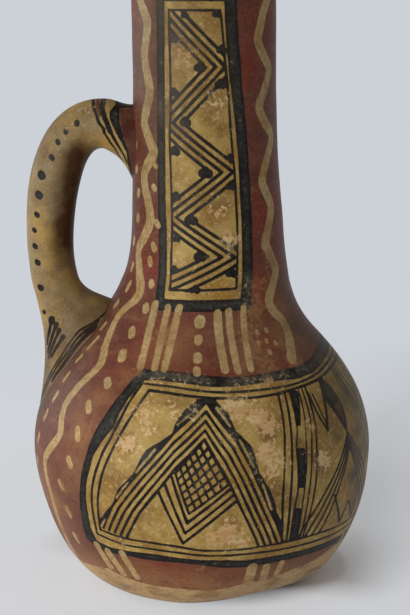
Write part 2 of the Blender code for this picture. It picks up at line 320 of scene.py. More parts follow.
def slip_coat(name, buff, buff_deep, buff_brown, buff_pale, stain_and_shade_colour):
    """Clay brushed with red slip, then buff, black and buff again, under a thin film of resin, darkened in
    places by dirt and by painted shade.
    """
    finish = bpy.data.materials.new(name)
    finish.use_nodes = True
    tree = finish.node_tree
    shader = tree.nodes["Principled BSDF"]
    place = Lead(tree, tree.nodes.new("ShaderNodeTexCoord").outputs["Object"])

    def field(label):
        """What the brushwork wrote on the piece under a name."""
        return place.node("ShaderNodeAttribute", {"attribute_name": label}, None, "Fac")

    def noise(scale, detail=2.0, rough=0.5):
        values = {"Vector": place, "Scale": scale, "Detail": detail, "Roughness": rough}
        return place.node("ShaderNodeTexNoise", None, values)

    def blend(factor, first, second):
        """The first colour, going over to the second as the factor rises."""
        return place.node("ShaderNodeMix", {"data_type": "RGBA"}, {0: factor, 6: first, 7: second}, 2)

    def over(low, high, value):
        """0 up to low, 1 from high, and a ramp between them."""
        return ((value - low) * (1.0 / (high - low))).clamped()

    broad = noise(WASH_MARKS, 3.0)
    middle = noise(CLOUD_MARKS, 3.0)
    fine = noise(SPECK_MARKS, 3.0, 0.65)
    grit = noise(GRAIN_MARKS, 2.0, 0.7)
    grime = noise(GRIME_MARKS, 4.0, 0.6)
    pits = over(0.60, 0.68, noise(PIT_MARKS, 3.0, 0.7))
    flecks = over(0.60, 0.66, noise(FLECK_MARKS, 2.0, 0.6))
    level = place.node("ShaderNodeVectorMath", {"operation": "MULTIPLY"}, {0: place, 1: (1.0, 1.0, 3.0)})
    streak_values = {"Vector": level, "Scale": STREAK_MARKS, "Detail": 5.0, "Roughness": 0.68}
    streaks = place.node("ShaderNodeTexNoise", None, streak_values)
    wobble = (noise(EDGE_MARKS, 1.0) - 0.5) * 0.7 + (fine - 0.5) * 0.6

    def cover(label, soft):
        """How much of a brushed layer lies here, with a softly broken edge."""
        return ((field(label) + wobble) * (1.0 / soft) + 0.5).clamped()

    ground = cover("ground", 0.36)
    black = cover("black", 0.36)
    top = cover("over", 0.50)
    red_line = cover("red", 0.60)
    worn = field("worn")
    warm = field("warm")
    ember = field("ember")
    # Soot, stains and painted shade that darken the slip
    stain_and_shade = field("stain_and_shade")
    bare = field("bare")

    red = blend(over(0.40, 0.62, broad), RED_SLIP, RED_SLIP_DULL)
    red = blend(over(0.48, 0.66, middle) * 0.45, red, RED_SLIP_DARK)
    red = blend((ember * over(0.25, 0.55, middle)).clamped() * 0.8, red, RED_SLIP_BRIGHT)
    red = blend(over(0.48, 0.64, fine) * 0.60, red, RED_SLIP_DARK)
    red = blend(pits * 0.35, red, GRIT)
    red = blend(over(0.52, 0.66, streaks) * 0.45, red, RED_SLIP_DARK)
    red = blend(over(0.45, 0.34, streaks) * 0.30 + flecks * 0.22, red, RED_SLIP_THIN)
    red = blend(warm * over(0.34, 0.54, middle * 0.5 + fine * 0.5) * 0.9, red, RED_SLIP_THIN)
    coat = blend(over(0.42, 0.60, middle * 0.7 + broad * 0.3), buff, buff_deep)
    coat = blend((warm * 0.6 + over(0.50, 0.64, grime) * 0.6).clamped(), coat, buff_brown)
    coat = blend(over(0.52, 0.68, fine) * 0.30 + flecks * 0.40, coat, buff_pale)
    coat = blend(pits * 0.40, coat, GRIT)
    thick = over(1.0, 2.4, field("black"))
    ink = blend(thick, BLACK_SLIP, BLACK_SLIP_THICK)
    dust = over(0.42, 0.64, fine * 0.55 + middle * 0.45 + worn * 0.20)
    ink = blend((dust * (0.12 + thick * 0.34 + worn * 1.3)).clamped(), ink, BLACK_SLIP_GREY)
    ink = blend(flecks * 0.30, ink, BLACK_SLIP_GREY)
    brushed = blend(over(0.42, 0.64, middle) * 0.6, STRIPE_SLIP, buff_deep)
    brushed = blend(over(0.52, 0.70, fine) * 0.35, brushed, buff_pale)
    brushed = blend(warm * 0.8, brushed, FOOT_SLIP)
    brushed = blend(warm * over(0.50, 0.64, streaks) * 0.60, brushed, RED_SLIP_DULL)

    wear = over(0.640, 0.680, middle * 0.25 + fine * 0.75 + worn * 0.27)
    wear = wear * (0.80 + over(0.40, 0.55, grit) * 0.20)
    scar = blend(over(0.44, 0.60, streaks), buff_pale, BARE_SCAR)
    scar = blend(ground, RED_SLIP_THIN, scar)
    colour = blend(ground, red, coat)
    colour = blend(wear * (0.75 + ground * 0.17), colour, scar)
    colour = blend(red_line, colour, blend(over(0.40, 0.58, middle), RED_SLIP_DARK, RED_SLIP_DULL))
    colour = blend(black * (1.0 - wear * 0.55), colour, ink)
    colour = blend(top * (0.64 + over(0.36, 0.56, fine) * 0.36) * (1.0 - wear * 0.70), colour, brushed)
    # Darkens the slip towards the stain colour, both where it is dirty and where shade is painted
    colour = blend((stain_and_shade * (0.55 + over(0.3, 0.7, middle) * 0.6)).clamped(), colour, stain_and_shade_colour)
    clay = blend(over(0.35, 0.70, fine * 0.5 + middle * 0.5), BARE_CLAY, BARE_CLAY_DARK)
    colour = blend(bare, colour, clay)
    colour = blend(over(0.54, 0.72, grit) * 0.32, colour, GRIT)
    tree.links.new(colour.socket, shader.inputs["Base Color"])

    shader.inputs["Specular IOR Level"].default_value = SLIP_SPECULAR
    rough = SLIP_ROUGHNESS + (fine - 0.5) * 0.25 - thick * black * 0.05 + wear * 0.12 + bare * 0.35
    tree.links.new(rough.socket, shader.inputs["Roughness"])
    film = over(0.57, 0.66, fine * 0.5 + grit * 0.5) * (1.0 - bare) * 0.50
    tree.links.new(film.socket, shader.inputs["Coat Weight"])
    shader.inputs["Coat Roughness"].default_value = RESIN_ROUGHNESS
    height = middle * 0.5 + fine * 0.22 + grit * 0.10 + black * 0.08 + top * 0.12 - wear * 0.10
    relief = {"Height": height, "Strength": RELIEF_STRENGTH, "Distance": RELIEF_HEIGHT}
    bump = place.node("ShaderNodeBump", None, relief)
    tree.links.new(bump.socket, shader.inputs["Normal"])
    return finish


painted_clay = slip_coat("painted_clay", BUFF_SLIP, BUFF_SLIP_DEEP, BUFF_SLIP_BROWN, BUFF_SLIP_PALE, SOOT_AND_SHADE)
pot_pieces = []


def add_to_pot(piece, node):
    """Sets a course of the wall in the place of its solid."""
    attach(piece, "root")
    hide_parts(node)
    pot_pieces.append(piece)


edge_heights = even_heights(BASE_JOINT, 0.0, ROW)
slab_floor = [(radius, FLOOR) for radius in np.linspace(0.0, FOOT_RADIUS, BASE_TOP_RINGS)]
slab_edge = wall_points(edge_heights, 0.0)
slab_under = [(radius, 0.0) for radius in np.linspace(FOOT_RADIUS, 0.0, BASE_UNDER_RINGS)[1:]]
slab_joint = wall_points([BASE_JOINT + JOINT_SLANT], WALL)
slab_section = np.concatenate([slab_floor, slab_joint, slab_edge, slab_under])
slab_outside = np.zeros(len(slab_section))
slab_outside[len(slab_floor) + 1:len(slab_floor) + 1 + len(slab_edge)] = 1.0
base_slab = raise_course("base_slab", slab_section, slab_outside, BASE_STEPS, painted_clay, False)
add_to_pot(base_slab, "base_slab")

# Belly: three courses of coiled clay, each pressed on to the slanted edge of the one below,
# scraped to one smooth wall and brushed all over with red slip.
# The decoration is brushed on before firing: a buff frieze drawn in black, with triangles and a lozenge.
LOWER_JOINT = 0.049
GIRTH_JOINT = 0.101
NECK_JOINT = 0.178
BELLY_STEPS = 840
SHOULDER_ROW = 0.00095
INSIDE_ROW = 0.006
FRAME_LINE = 1.55
FRAME_LINE_BROAD = 1.8
LEG_LINE = 1.75
CHEQUERS = 6
CHEQUER_LINE = 1.5
paint = {"ground": [], "black": [], "over": [], "red": []}
# Soft patches of tone on the wall: degrees round, millimetres up, radius in millimetres, strength
tones = {"worn": [], "warm": [], "ember": [], "stain_and_shade": []}


def wall_course(name, low, high, row, steps):
    """One course of wall between two joints that slant up to the inside."""
    outer = wall_points(even_heights(high, low, row), 0.0)
    inner = wall_points(even_heights(low + JOINT_SLANT, high + JOINT_SLANT, INSIDE_ROW), WALL)
    section = np.concatenate([outer, inner])
    outside = np.concatenate([np.ones(len(outer)), np.zeros(len(inner))])
    piece = raise_course(name, section, outside, steps, painted_clay)
    add_to_pot(piece, name)


wall_course("lower_belly", BASE_JOINT, LOWER_JOINT, ROW, BELLY_STEPS)
wall_course("middle_belly", LOWER_JOINT, GIRTH_JOINT, ROW, BELLY_STEPS)
wall_course("shoulder", GIRTH_JOINT, NECK_JOINT, SHOULDER_ROW, BELLY_STEPS)


def rounded_line(points, steps=10):
    """The same line with its corners rounded, through every point."""
    points = np.asarray(points, float)
    ends = np.concatenate([[2 * points[0] - points[1]], points, [2 * points[-1] - points[-2]]])
    t = np.linspace(0.0, 1.0, steps, endpoint=False)[:, None]
    runs = []
    for before, start, end, after in zip(ends, ends[1:], ends[2:], ends[3:]):
        first = (end - before) * 0.5
        last = (after - start) * 0.5
        swell = t * t * (3.0 - 2.0 * t)
        runs.append(start + swell * (end - start) + t * (1 - t) ** 2 * first + t * t * (t - 1) * last)
    return np.concatenate(runs + [points[-1:]])


def on_wall(points):
    """Points on the wall from (degrees round from the front, millimetres up)."""
    points = np.asarray(points, float)
    turn = np.radians(points[:, 0])
    height = points[:, 1] / 1000.0
    radius = outer_radius(height)
    return np.stack([radius * np.sin(turn), -radius * np.cos(turn), height], axis=1)


def fine_line(points, surface=on_wall, step=1.5):
    """The line on a surface, cut into short straight runs."""
    points = np.asarray(points, float)
    runs = []
    for start, end in zip(points, points[1:]):
        first, last = surface([start, end])
        count = max(1, int(math.ceil(np.linalg.norm(last - first) * 1000.0 / step)))
        runs.append(start + np.linspace(0.0, 1.0, count, endpoint=False)[:, None] * (end - start))
    return np.concatenate(runs + [points[-1:]])


def stroke(layer, points, width, rounded=False, surface=on_wall, marks=paint):
    """One brush stroke, of a width in millimetres."""
    points = rounded_line(points) if rounded else points
    marks[layer].append((surface(fine_line(points, surface)), width / 2000.0, None))


def patch(layer, corners, surface=on_wall, marks=paint):
    """A filled shape."""
    corners = np.asarray(corners, float)
    edge = fine_line(np.concatenate([corners, corners[:1]]), surface)
    marks[layer].append((surface(edge), 0.0, corners))


def dab(layer, degrees, height, width, long=0.0, slant=0.0):
    """A touch of the brush, drawn out up the wall by a length, leaning by some degrees round."""
    rise = long / 2.0
    stroke(layer, [(degrees - slant, height - rise), (degrees + slant, height + rise)], width)


def between(first, last, count):
    """Lines spaced evenly from the first to the last."""
    first = np.asarray(first, float)
    last = np.asarray(last, float)
    return [first + (last - first) * i / (count - 1) for i in range(count)]


# Frieze: the buff ground and its frame
patch("ground", [
    (-23.5, 141.4), (-31.6, 124.6), (-36.9, 108.5), (-39.6, 90.3), (-41.8, 75.1), (-43.3, 57.7), (-43, 43),
    (-27.4, 40), (-12.1, 39.6), (6.2, 37.2), (23.7, 36.7), (44.4, 36.9), (64.6, 35.4), (95, 37), (95, 145),
    (66, 143.5), (52.7, 140), (29.8, 140), (5, 139.4)
])
patch("black", [
    (-26.2, 144.6), (-29.5, 137.8), (-33.2, 128.2), (-35.8, 120.1), (-38.1, 111.9), (-39.6, 103.9),
    (-40.6, 95.5), (-41.9, 86.9), (-42.9, 78), (-44.1, 69), (-45.1, 59.4), (-45.8, 49.9), (-45.5, 42.8),
    (-42, 40), (-40.2, 43.8), (-41.5, 51.8), (-41.2, 61.1), (-40.8, 70.3), (-40.1, 79.1), (-38.6, 88),
    (-37.4, 96.4), (-34.7, 105.3), (-31.4, 113.6), (-30.2, 121.3), (-28.1, 129.1), (-25.5, 136.4),
    (-22.8, 139.7)
])
patch("black", [
    (-26.2, 144.6), (-22.7, 144.3), (-15.9, 144.4), (-9.3, 144.1), (-2.8, 143.6), (3.5, 142.4),
    (11.8, 141.6), (20.4, 141.6), (30, 142.2), (42, 142.2), (53, 143.4), (66, 147), (80, 148.5), (95, 149),
    (95, 143), (80, 142.6), (66, 141), (53, 137.8), (42, 136.6), (28.4, 137.7), (19.5, 137.1), (11.2, 136.9),
    (3.3, 137.1), (-2.6, 138.1), (-8.7, 138.9), (-17.1, 139.6), (-25.5, 138.5)
])
patch("black", [
    (-41.7, 44.5), (-34.6, 42.1), (-28.3, 41.9), (-18, 42.6), (-8.5, 41.2), (-0.8, 40.2), (7, 39.8),
    (15, 38.6), (25.7, 39.2), (44.5, 38.9), (64.6, 38), (95, 39.8), (95, 35.2), (64.6, 33.4), (44.5, 34.3),
    (26.6, 34.4), (15, 33.8), (7.3, 34.3), (-0.8, 36.6), (-8.6, 37.8), (-18.3, 37.8), (-28.9, 38.4),
    (-38, 38), (-45.5, 42.8)
])
stroke("black", [
    (-23.6, 137.4), (-14.6, 137.1), (-8.5, 136.5), (3.2, 134.8), (10.9, 134.3), (18.9, 134.3), (36.4, 134.4),
    (46.3, 135.4), (54.4, 136.6), (66, 138.9), (80, 140.4), (95, 140.8)
], FRAME_LINE, True)
stroke("black", [
    (-20.7, 134.4), (-14.1, 134), (-8.2, 133.2), (3.1, 131.9), (10.7, 131.3), (18.4, 130.9), (29.8, 131.4),
    (39, 132.4), (47.1, 133.2), (55.5, 134.2), (66, 136.2), (80, 137.4), (95, 137.8)
], FRAME_LINE_BROAD, True)
stroke("black", [
    (-24.2, 137.2), (-25.4, 134.3), (-27.6, 126.9), (-29.5, 117.8), (-31.5, 108.3), (-33.5, 100.9),
    (-35.2, 92.4), (-36.8, 83.6), (-37.9, 74.7), (-38.8, 62.1), (-39.1, 49)
], FRAME_LINE_BROAD, True)
stroke("black", [
    (-20.7, 134.4), (-24, 125.3), (-26.9, 115.3), (-29.1, 106.7), (-31.3, 97.5), (-33.1, 89), (-34.6, 79.3),
    (-36, 67.6), (-37, 53)
], FRAME_LINE_BROAD, True)
stroke("black", [
    (-37.2, 52.6), (-28.3, 50.4), (-18, 49.8), (-8.5, 48.6), (-0.8, 46.6), (6.8, 46.2), (15, 46.4),
    (22.4, 47), (42.9, 47.5), (59.8, 46.8), (95, 48)
], FRAME_LINE, True)
stroke("black", [
    (-39.1, 49), (-28.3, 46), (-18, 45.6), (-8.5, 44.6), (-0.8, 43.2), (7, 42.8), (15, 42.9), (23, 42.9),
    (44.1, 42.7), (61.4, 42.3), (95, 44)
], FRAME_LINE, True)

# Large triangle of five lines with a scalloped outer edge, round a chequered lozenge
outer_leg = [
    (-35.5, 54.2), (-30.2, 69.4), (-20.9, 90.3), (-9.4, 113.8), (1.8, 130), (11.9, 109.2), (16.8, 91.6),
    (22.6, 67.9), (28.1, 47.5)
]
inner_leg = [
    (-26.4, 51.4), (-20.3, 68.3), (-13.6, 83.1), (-8, 95.9), (1, 111.3), (6.1, 96.2), (9, 86.7), (13.3, 69),
    (18.8, 47.8)
]
for leg in between(outer_leg, inner_leg, 5):
    stroke("black", leg, LEG_LINE)
patch("black", [
    (-1.8, 130.4), (-5.6, 126.8), (-7.9, 122.6), (-9.2, 118.4), (-9.9, 114), (-14.3, 108.7), (-18.2, 104.7),
    (-19.6, 100.8), (-21.9, 91.2), (-27.6, 80.2), (-29.4, 73.1), (-30.3, 70.5), (-36.6, 58.6)
] + outer_leg[:5])
patch("black", [
    (5.6, 130.2), (9.4, 124.4), (11.2, 117.4), (11.8, 114.7), (13.1, 112.9), (16.4, 107.1), (18.1, 97.9),
    (18.6, 91.9), (22.1, 81.7), (24, 72.5), (24.4, 68.5), (26.6, 61.4), (28, 48.3)
] + outer_leg[7:3:-1])
patch("black", [(-2.1, 131.1), (1.9, 132.3), (5.8, 130.9), (4.2, 127.1), (1.8, 128.7), (-0.8, 127.3)])
for slit in (
        [(-3.8, 124.1), (-8.1, 118.6)], [(-15.1, 105.2), (-21, 91.9)], [(-23.9, 85.2), (-28.1, 75.4)],
        [(-34, 60.1), (-36.3, 54.9)], [(5.4, 127.1), (9.8, 117.5)], [(12.7, 110.3), (16.9, 95.2)],
        [(19.6, 85.2), (22.6, 69.7)]
):
    stroke("over", slit, 1.3)
top, left, bottom, right = np.array([(1, 111), (-8.2, 93.2), (-4.1, 69.7), (8.6, 86.7)])
for step in range(CHEQUERS + 1):
    t = step / CHEQUERS
    stroke("black", [top + (left - top) * t, right + (bottom - right) * t], CHEQUER_LINE)
    stroke("black", [top + (right - top) * t, left + (bottom - left) * t], CHEQUER_LINE)
first_border = [(-9.3, 90.9), (-4.9, 63.9), (9.3, 84.3)]
last_border = [(-13.6, 81.9), (-6.8, 50.9), (11.3, 77.4)]
for border in between(first_border, last_border, 3):
    stroke("black", border, LEG_LINE)

# Upright between the two fields of the frieze, and the hanging and standing triangles beyond it
stroke("black", [(30.2, 131.4), (29, 113), (27.6, 97.2), (26.6, 74.5), (27.4, 47.5)], FRAME_LINE, True)
stroke("black", [(33.2, 131.6), (31.6, 112.5), (30.4, 96.5), (29.4, 73.7), (29.2, 47.5)], FRAME_LINE, True)
stroke("black", [(35.4, 131), (34.2, 113), (32.6, 102), (32.3, 80), (31.2, 68), (30.5, 47.5)], 1.3, True)
patch("black", [(35.2, 131.5), (39.6, 131.5), (35.9, 113.6), (34.1, 113.9)])
patch("black", [(32.4, 102.6), (35.9, 101.7), (34.8, 79.2), (32.2, 80)])
patch("black", [(31.1, 68.2), (33.8, 67.4), (33.9, 47), (30.4, 47.4)])
stroke("black", [
    (40, 132), (38.3, 116.1), (36.6, 103.2), (35.6, 89.5), (34.4, 72.2), (33.5, 47.4)
], 1.1, True)
stroke("black", [
    (41.8, 132.6), (40.7, 115.5), (38.9, 102.4), (37.7, 88.8), (36.4, 71.4), (34.9, 47.4)
], 1.3, True)
stroke("black", [
    (43.7, 133), (42.5, 114.9), (41, 101.8), (40, 87.9), (38.6, 70.6), (36, 47.4)
], FRAME_LINE, True)
stroke("black", [(43.9, 129), (44.8, 118), (47.4, 108)], FRAME_LINE, True)
stroke("black", [(45.8, 128), (46.6, 119), (47.8, 111)], 1.2, True)
stroke("black", [(53.6, 133.2), (51.2, 124.5), (47.4, 108)], 2.2, True)
patch("red", [
    (53.6, 133.2), (52.4, 124.3), (54.8, 115.1), (57.7, 106.4), (58.3, 106.8), (59.8, 115.7), (58.4, 126),
    (55.2, 132.7)
])
patch("black", [(53.6, 133.2), (52.4, 124.3), (54.2, 118.4), (59.2, 120.6), (58.4, 126), (55.2, 132.7)])
stroke("black", [(54.2, 133.4), (52.4, 124.3), (55, 115.1), (58, 104.8)], 3.0, True)
stroke("black", [(55.5, 132.7), (58.4, 126), (59.8, 115.7), (58.2, 104.8)], 2.2, True)
stand_outer = [
    (34.4, 48.8), (36, 55.3), (43.2, 71.1), (50.5, 86.2), (58.2, 103.1), (65.8, 86.3), (74.1, 70.9),
    (81, 55.7), (83, 48.5)
]
stand_inner = [
    (42.9, 47.1), (45, 50.6), (49.4, 65.2), (53, 78.7), (57.9, 94.6), (62.8, 78.7), (68.1, 64.9), (72, 51.2),
    (74, 48)
]
for leg in between(stand_outer, stand_inner, 4):
    stroke("black", leg, LEG_LINE)
stroke("black", [(49.4, 68.9), (55.1, 49.1), (58.8, 61.5), (64.6, 48.6), (67.5, 68.7)], LEG_LINE)
for hang in between([(68.7, 131.5), (78.3, 92.4), (90, 70)], [(80.1, 131.5), (86, 106), (90, 96)], 4):
    stroke("black", hang, LEG_LINE)

# Strokes below the frieze and the band round the foot
for start, end, width in (
        ((-41, 41), (-38, 27), 4.6), ((-36.3, 38.5), (-32.5, 24), 4.6), ((-30, 39.5), (-26.5, 23.5), 4.4),
        ((17.9, 33), (17.5, 22), 6.2), ((23.4, 32), (23.9, 21.5), 5.0), ((29.7, 33), (29.1, 23), 4.2),
        ((64, 36), (63, 24), 4.4), ((70, 36), (69, 24), 4.4), ((76, 36), (75, 24), 4.4)
):
    stroke("over", [start, end], width)
patch("over", [
    (-95, 19), (-80, 17), (-60, 20), (-48, 23), (-40, 25), (-33, 21.5), (-26, 19.5), (-17.5, 18.6), (-9, 18),
    (1.5, 17.2), (10.8, 18.6), (16.6, 21), (24, 20.6), (29, 22), (35, 24.3), (44, 26.4), (52, 29), (58, 32),
    (75, 31), (95, 27), (95, -3), (-95, -3)
])

# Stripes and dabs on the shoulder, brushed over the black bands at both ends
for start, end, width in (
        ((-32.7, 176.5), (-27.6, 145), 4.6), ((-23.3, 175.5), (-20.9, 145), 4.0),
        ((-15.9, 175.8), (-16.3, 145), 4.2), ((8.3, 173), (10.1, 145), 4.8), ((15.2, 174), (15.8, 144), 4.2),
        ((25, 175), (21.7, 144.5), 3.8)
):
    stroke("over", [start, end], width)
for height, width in ((168.7, 6.2), (159.6, 4.8), (150.9, 5.2), (144.5, 4.4)):
    dab("over", -2, height, width, 1.6)
for degrees, height in (
        (31.2, 161.8), (37.4, 162.1), (29.9, 156.4), (35, 156.8), (40, 155.1), (34.2, 151.4)
):
    dab("over", degrees, height, 2.6, 0.8)

# Slip chipped off, slip rubbed thin, slip that fired to a brighter red, and soot from the fire, with painted
# shade down the right side away from the lamp
tones["worn"] += [
    (10, 128, 7, 0.9), (14, 125, 9, 1.0), (19, 121, 10, 1.0), (23, 116, 8, 0.9), (21.5, 102, 9, 1.0),
    (24, 94, 8, 0.9), (8.2, 56.3, 9, 1.0), (12.4, 50.3, 6, 0.9), (3.3, 54.7, 6, 0.9), (43.8, 92, 8, 0.9),
    (40, 112, 5, 0.6), (-17.3, 122.6, 4, 0.5), (-20, 123, 9, 0.75), (-10, 125, 7, 0.5), (-2, 125, 6, 0.4),
    (0, 92, 12, 0.25), (8, 111, 8, 0.4), (-18.2, 114, 6, 0.7), (-24.7, 106, 6, 0.8), (-19.6, 104, 5, 0.6),
    (-4.2, 128.4, 4, 0.5), (-27, 97, 4, 0.5), (-0.9, 33.9, 3.5, 1.0), (33, 174, 8, 0.75), (32, 166, 7, 0.6),
    (27.6, 153, 7, 0.65), (32, 147, 8, 0.75), (46, 152, 9, 0.6), (50, 213, 10, 0.5), (52, 200, 10, 0.6),
    (46, 188, 9, 0.7), (10, 290, 8, 0.6), (-14, 318, 8, 0.6), (10, 232, 7, 0.5), (16, 214, 7, 0.7),
    (-2, 20, 8, 0.5), (-30, 45, 6, 0.4), (2, 14, 8, 0.9), (-20, 12, 7, 0.7), (30, 15, 7, 0.7),
    (-45, 18, 8, 0.5), (-28, 143, 8, 0.45), (-18, 142, 8, 0.5), (-8, 141, 8, 0.5), (2, 139.5, 8, 0.5),
    (12, 139, 8, 0.5), (20, 139.5, 8, 0.55), (28, 140, 8, 0.55), (36, 141, 8, 0.55), (46, 144, 8, 0.5),
    (30, 184, 8, 0.6), (25, 160, 9, 0.6), (29, 150, 9, 0.7), (-20.5, 160, 9, 0.8), (14, 158, 9, 0.5),
    (-36, 290, 9, 0.3), (-63.5, 60, 14, 0.6), (-64, 40, 14, 0.6), (-53, 73, 6, 0.7), (-53, 57, 6, 0.7)
]
tones["warm"] += [
    (30, 182, 9, 0.9), (48, 158, 12, 0.9), (56, 152, 12, 0.8), (53, 171, 11, 0.7), (20, 147, 8, 0.8),
    (34, 146, 8, 0.9), (44, 145, 8, 0.9), (28, 167, 10, 1.0), (26, 152, 10, 0.9), (29, 144, 8, 0.6),
    (-15, 156, 13, 0.7), (-27, 152, 10, 0.6), (-33, 139, 9, 0.6), (-66, 62, 25, 0.6), (-60, 40, 20, 0.5),
    (0, 330, 12, 0.6), (2, 302, 12, 0.5), (-2, 262, 12, 0.5), (4, 222, 10, 0.5), (2, 195, 9, 0.4),
    (-43, 109, 18, 0.9), (-40.4, 126, 12, 0.7), (-45.2, 86, 14, 0.8), (-36.5, 77, 8, 0.6),
    (48, 104, 12, 0.9), (-30, 112, 9, 0.4), (24, 76, 10, 0.7), (-27, 60, 9, 0.5), (24, 112, 8, 0.9),
    (28, 122, 7, 0.7), (40, 90, 10, 0.9), (34, 73, 8, 0.8), (40, 118, 9, 0.6), (44, 72, 9, 0.6),
    (8, 288, 10, 0.6), (6, 235, 9, 0.5), (52, 126, 10, 0.7)
]
tones["ember"] += [
    (39.4, 178, 9, 0.8), (36.1, 186.7, 8, 0.8), (38, 158, 9, 0.5), (-40, 234, 10, 0.35),
    (-42, 195, 10, 0.45), (13.7, 28, 14, 0.35), (-8.8, 25, 16, 0.45), (-62, 47, 20, 0.3), (40, 230, 12, 0.5),
    (40, 300, 24, 0.5)
]
# Soot and grime, and painted shade darkening the right side of the belly and neck, which faces away from the
# lamp
tones["stain_and_shade"] += [
    (-40, 336, 38, 0.54), (-34, 292, 34, 0.50), (-26, 236, 26, 0.28), (-40, 14, 10, 0.2),
    (-8, 334, 28, 0.18), (34.2, 107, 4, 0.7), (32.8, 74, 4, 0.45), (-33, 168, 7, 0.35), (56, 126, 8, 0.95),
    (58, 113, 5, 0.4), (-38, 246, 30, 0.22), (61, 76, 10, 1.0), (66, 88, 10, 0.95), (66, 70, 10, 1.0),
    (63, 58, 9, 0.65), (66, 100, 12, 0.7), (70, 130, 16, 0.9), (64, 144, 10, 0.9), (72, 120, 30, 0.9),
    (76, 92, 24, 0.8), (80, 138, 24, 0.95), (66, 158, 16, 0.75), (49, 103, 7, 0.35), (76, 60, 22, 0.6),
    (57, 147, 11, 0.65), (70, 176, 12, 0.6), (78, 205, 14, 0.5), (61, 92, 9, 0.5), (-84, 230, 14, 0.35),
    (84, 300, 30, 0.3)
]

# Neck: two taller courses of coiled clay that narrow upwards, scraped and slipped like the belly.
# A framed panel with a zigzag of four black lines runs up the front,
# with wavy buff lines and dabs down both sides that go on over the shoulder.
WAIST_JOINT = 0.238
RIM_JOINT = 0.351
NECK_STEPS = 420
NECK_ROW = 0.0007
ZIGZAG_LINES = (-1.5, -0.5, 0.5, 1.5)
ZIGZAG_GAP = 4.0
ZIGZAG_LINE = 2.05
wall_course("neck_lower", NECK_JOINT, WAIST_JOINT, NECK_ROW, NECK_STEPS)
wall_course("neck_upper", WAIST_JOINT, RIM_JOINT, NECK_ROW, NECK_STEPS)

# Framed panel up the front
band_left = [
    (-35.4, 351), (-35.6, 330), (-36.1, 314), (-36.5, 273), (-35.4, 220), (-32.7, 190), (-29.6, 177)
]
band_right = [(21, 351), (22, 331), (25, 303), (29, 274), (30.8, 247), (30.6, 221), (29.4, 196), (27, 177)]
patch("ground", band_left + band_right[::-1])
stroke("black", band_left, 5.8, True)
stroke("black", band_right, 7.2, True)
stroke("black", band_right[:3], 7.8, True)
stroke("black", [(-29.6, 176.6), (0, 177), (27, 177)], 7.0)
stroke("black", [(-36, 350.5), (-7, 350.5), (21, 350.5)], 7.0)
inner_left = [
    (-27.6, 342.2), (-27.2, 303.5), (-27.6, 286.7), (-28.6, 270), (-27.4, 246), (-26.8, 221), (-27.2, 203),
    (-25, 185)
]
inner_right = [
    (12.9, 342.2), (14.3, 331), (16.1, 314), (18.6, 294), (19.8, 277), (21.1, 263), (22.5, 249),
    (22.7, 227.5), (21.7, 203), (20.4, 186)
]
stroke("black", inner_left, FRAME_LINE, True)
stroke("black", inner_right, FRAME_LINE, True)
stroke("black", [inner_left[0], inner_right[0]], FRAME_LINE)
stroke("black", [inner_left[-1], inner_right[-1]], FRAME_LINE)

# The zigzag is set out on the unrolled wall, in millimetres either way from the front
zigzag = np.array([
    (-33.6, 345.4), (12.5, 311), (-29.7, 279.3), (16.6, 252), (-28, 226), (15.1, 203.7), (-26.3, 186.4)
])
unrolled = zigzag.copy()
unrolled[:, 0] = np.radians(zigzag[:, 0]) * outer_radius(zigzag[:, 1] / 1000.0) * 1000.0
ways = np.diff(unrolled, axis=0)
ways /= np.linalg.norm(ways, axis=1)[:, None]
sides = np.stack([ways[:, 1], -ways[:, 0]], axis=1)
left_edge = np.array(inner_left[::-1])
right_edge = np.array(inner_right[::-1])
for line in ZIGZAG_LINES:
    corners = [unrolled[0] + sides[0] * line * ZIGZAG_GAP]
    for before, after, corner in zip(sides, sides[1:], unrolled[1:]):
        mitre = (before + after) / (1.0 + before @ after)
        corners.append(corner + mitre * line * ZIGZAG_GAP)
    corners.append(unrolled[-1] + sides[-1] * line * ZIGZAG_GAP)
    corners = np.array(corners)
    corners[:, 0] = np.degrees(corners[:, 0] / (outer_radius(corners[:, 1] / 1000.0) * 1000.0))
    path = fine_line(corners)
    inside = path[:, 0] > np.interp(path[:, 1], left_edge[:, 1], left_edge[:, 0])
    inside &= path[:, 0] < np.interp(path[:, 1], right_edge[:, 1], right_edge[:, 0])
    inside &= (path[:, 1] < inner_left[0][1]) & (path[:, 1] > inner_left[-1][1])
    breaks = np.flatnonzero(np.diff(inside.astype(int))) + 1
    for run, kept in zip(np.split(path, breaks), np.split(inside, breaks)):
        if kept[0] and len(run) > 1:
            paint["black"].append((on_wall(run), ZIGZAG_LINE / 2000.0, None))
# Knots of three dabs at the corners of the zigzag and along the frame
for degrees, height, width in (
        (-14.6, 339.4, 4.6), (10, 340, 5.2), (-23.6, 326.1, 5.6), (13.3, 320.3, 5.8), (-3.7, 310.5, 6.6),
        (12.2, 301.1, 6.6), (-24.3, 296.3, 6.0), (-15.4, 280, 6.6), (-24.3, 263.4, 6.8), (18.9, 259.9, 5.2),
        (-0.4, 251.6, 8.0), (18.8, 243.9, 5.8), (-23.3, 237.9, 5.8), (-12, 224.8, 7.6), (-23.5, 213.5, 4.6),
        (18.6, 209.7, 5.8), (-5.6, 204.2, 7.2), (16.9, 194.5, 6.6), (-24.1, 195.9, 5.4), (-7.5, 185.6, 6.0)
):
    dab("black", degrees - width * 0.28, height, width * 0.62, 0.3)
    dab("black", degrees + width * 0.28, height - width * 0.04, width * 0.66, 0.3)
    dab("black", degrees, height + width * 0.20, width * 0.60, 0.3)

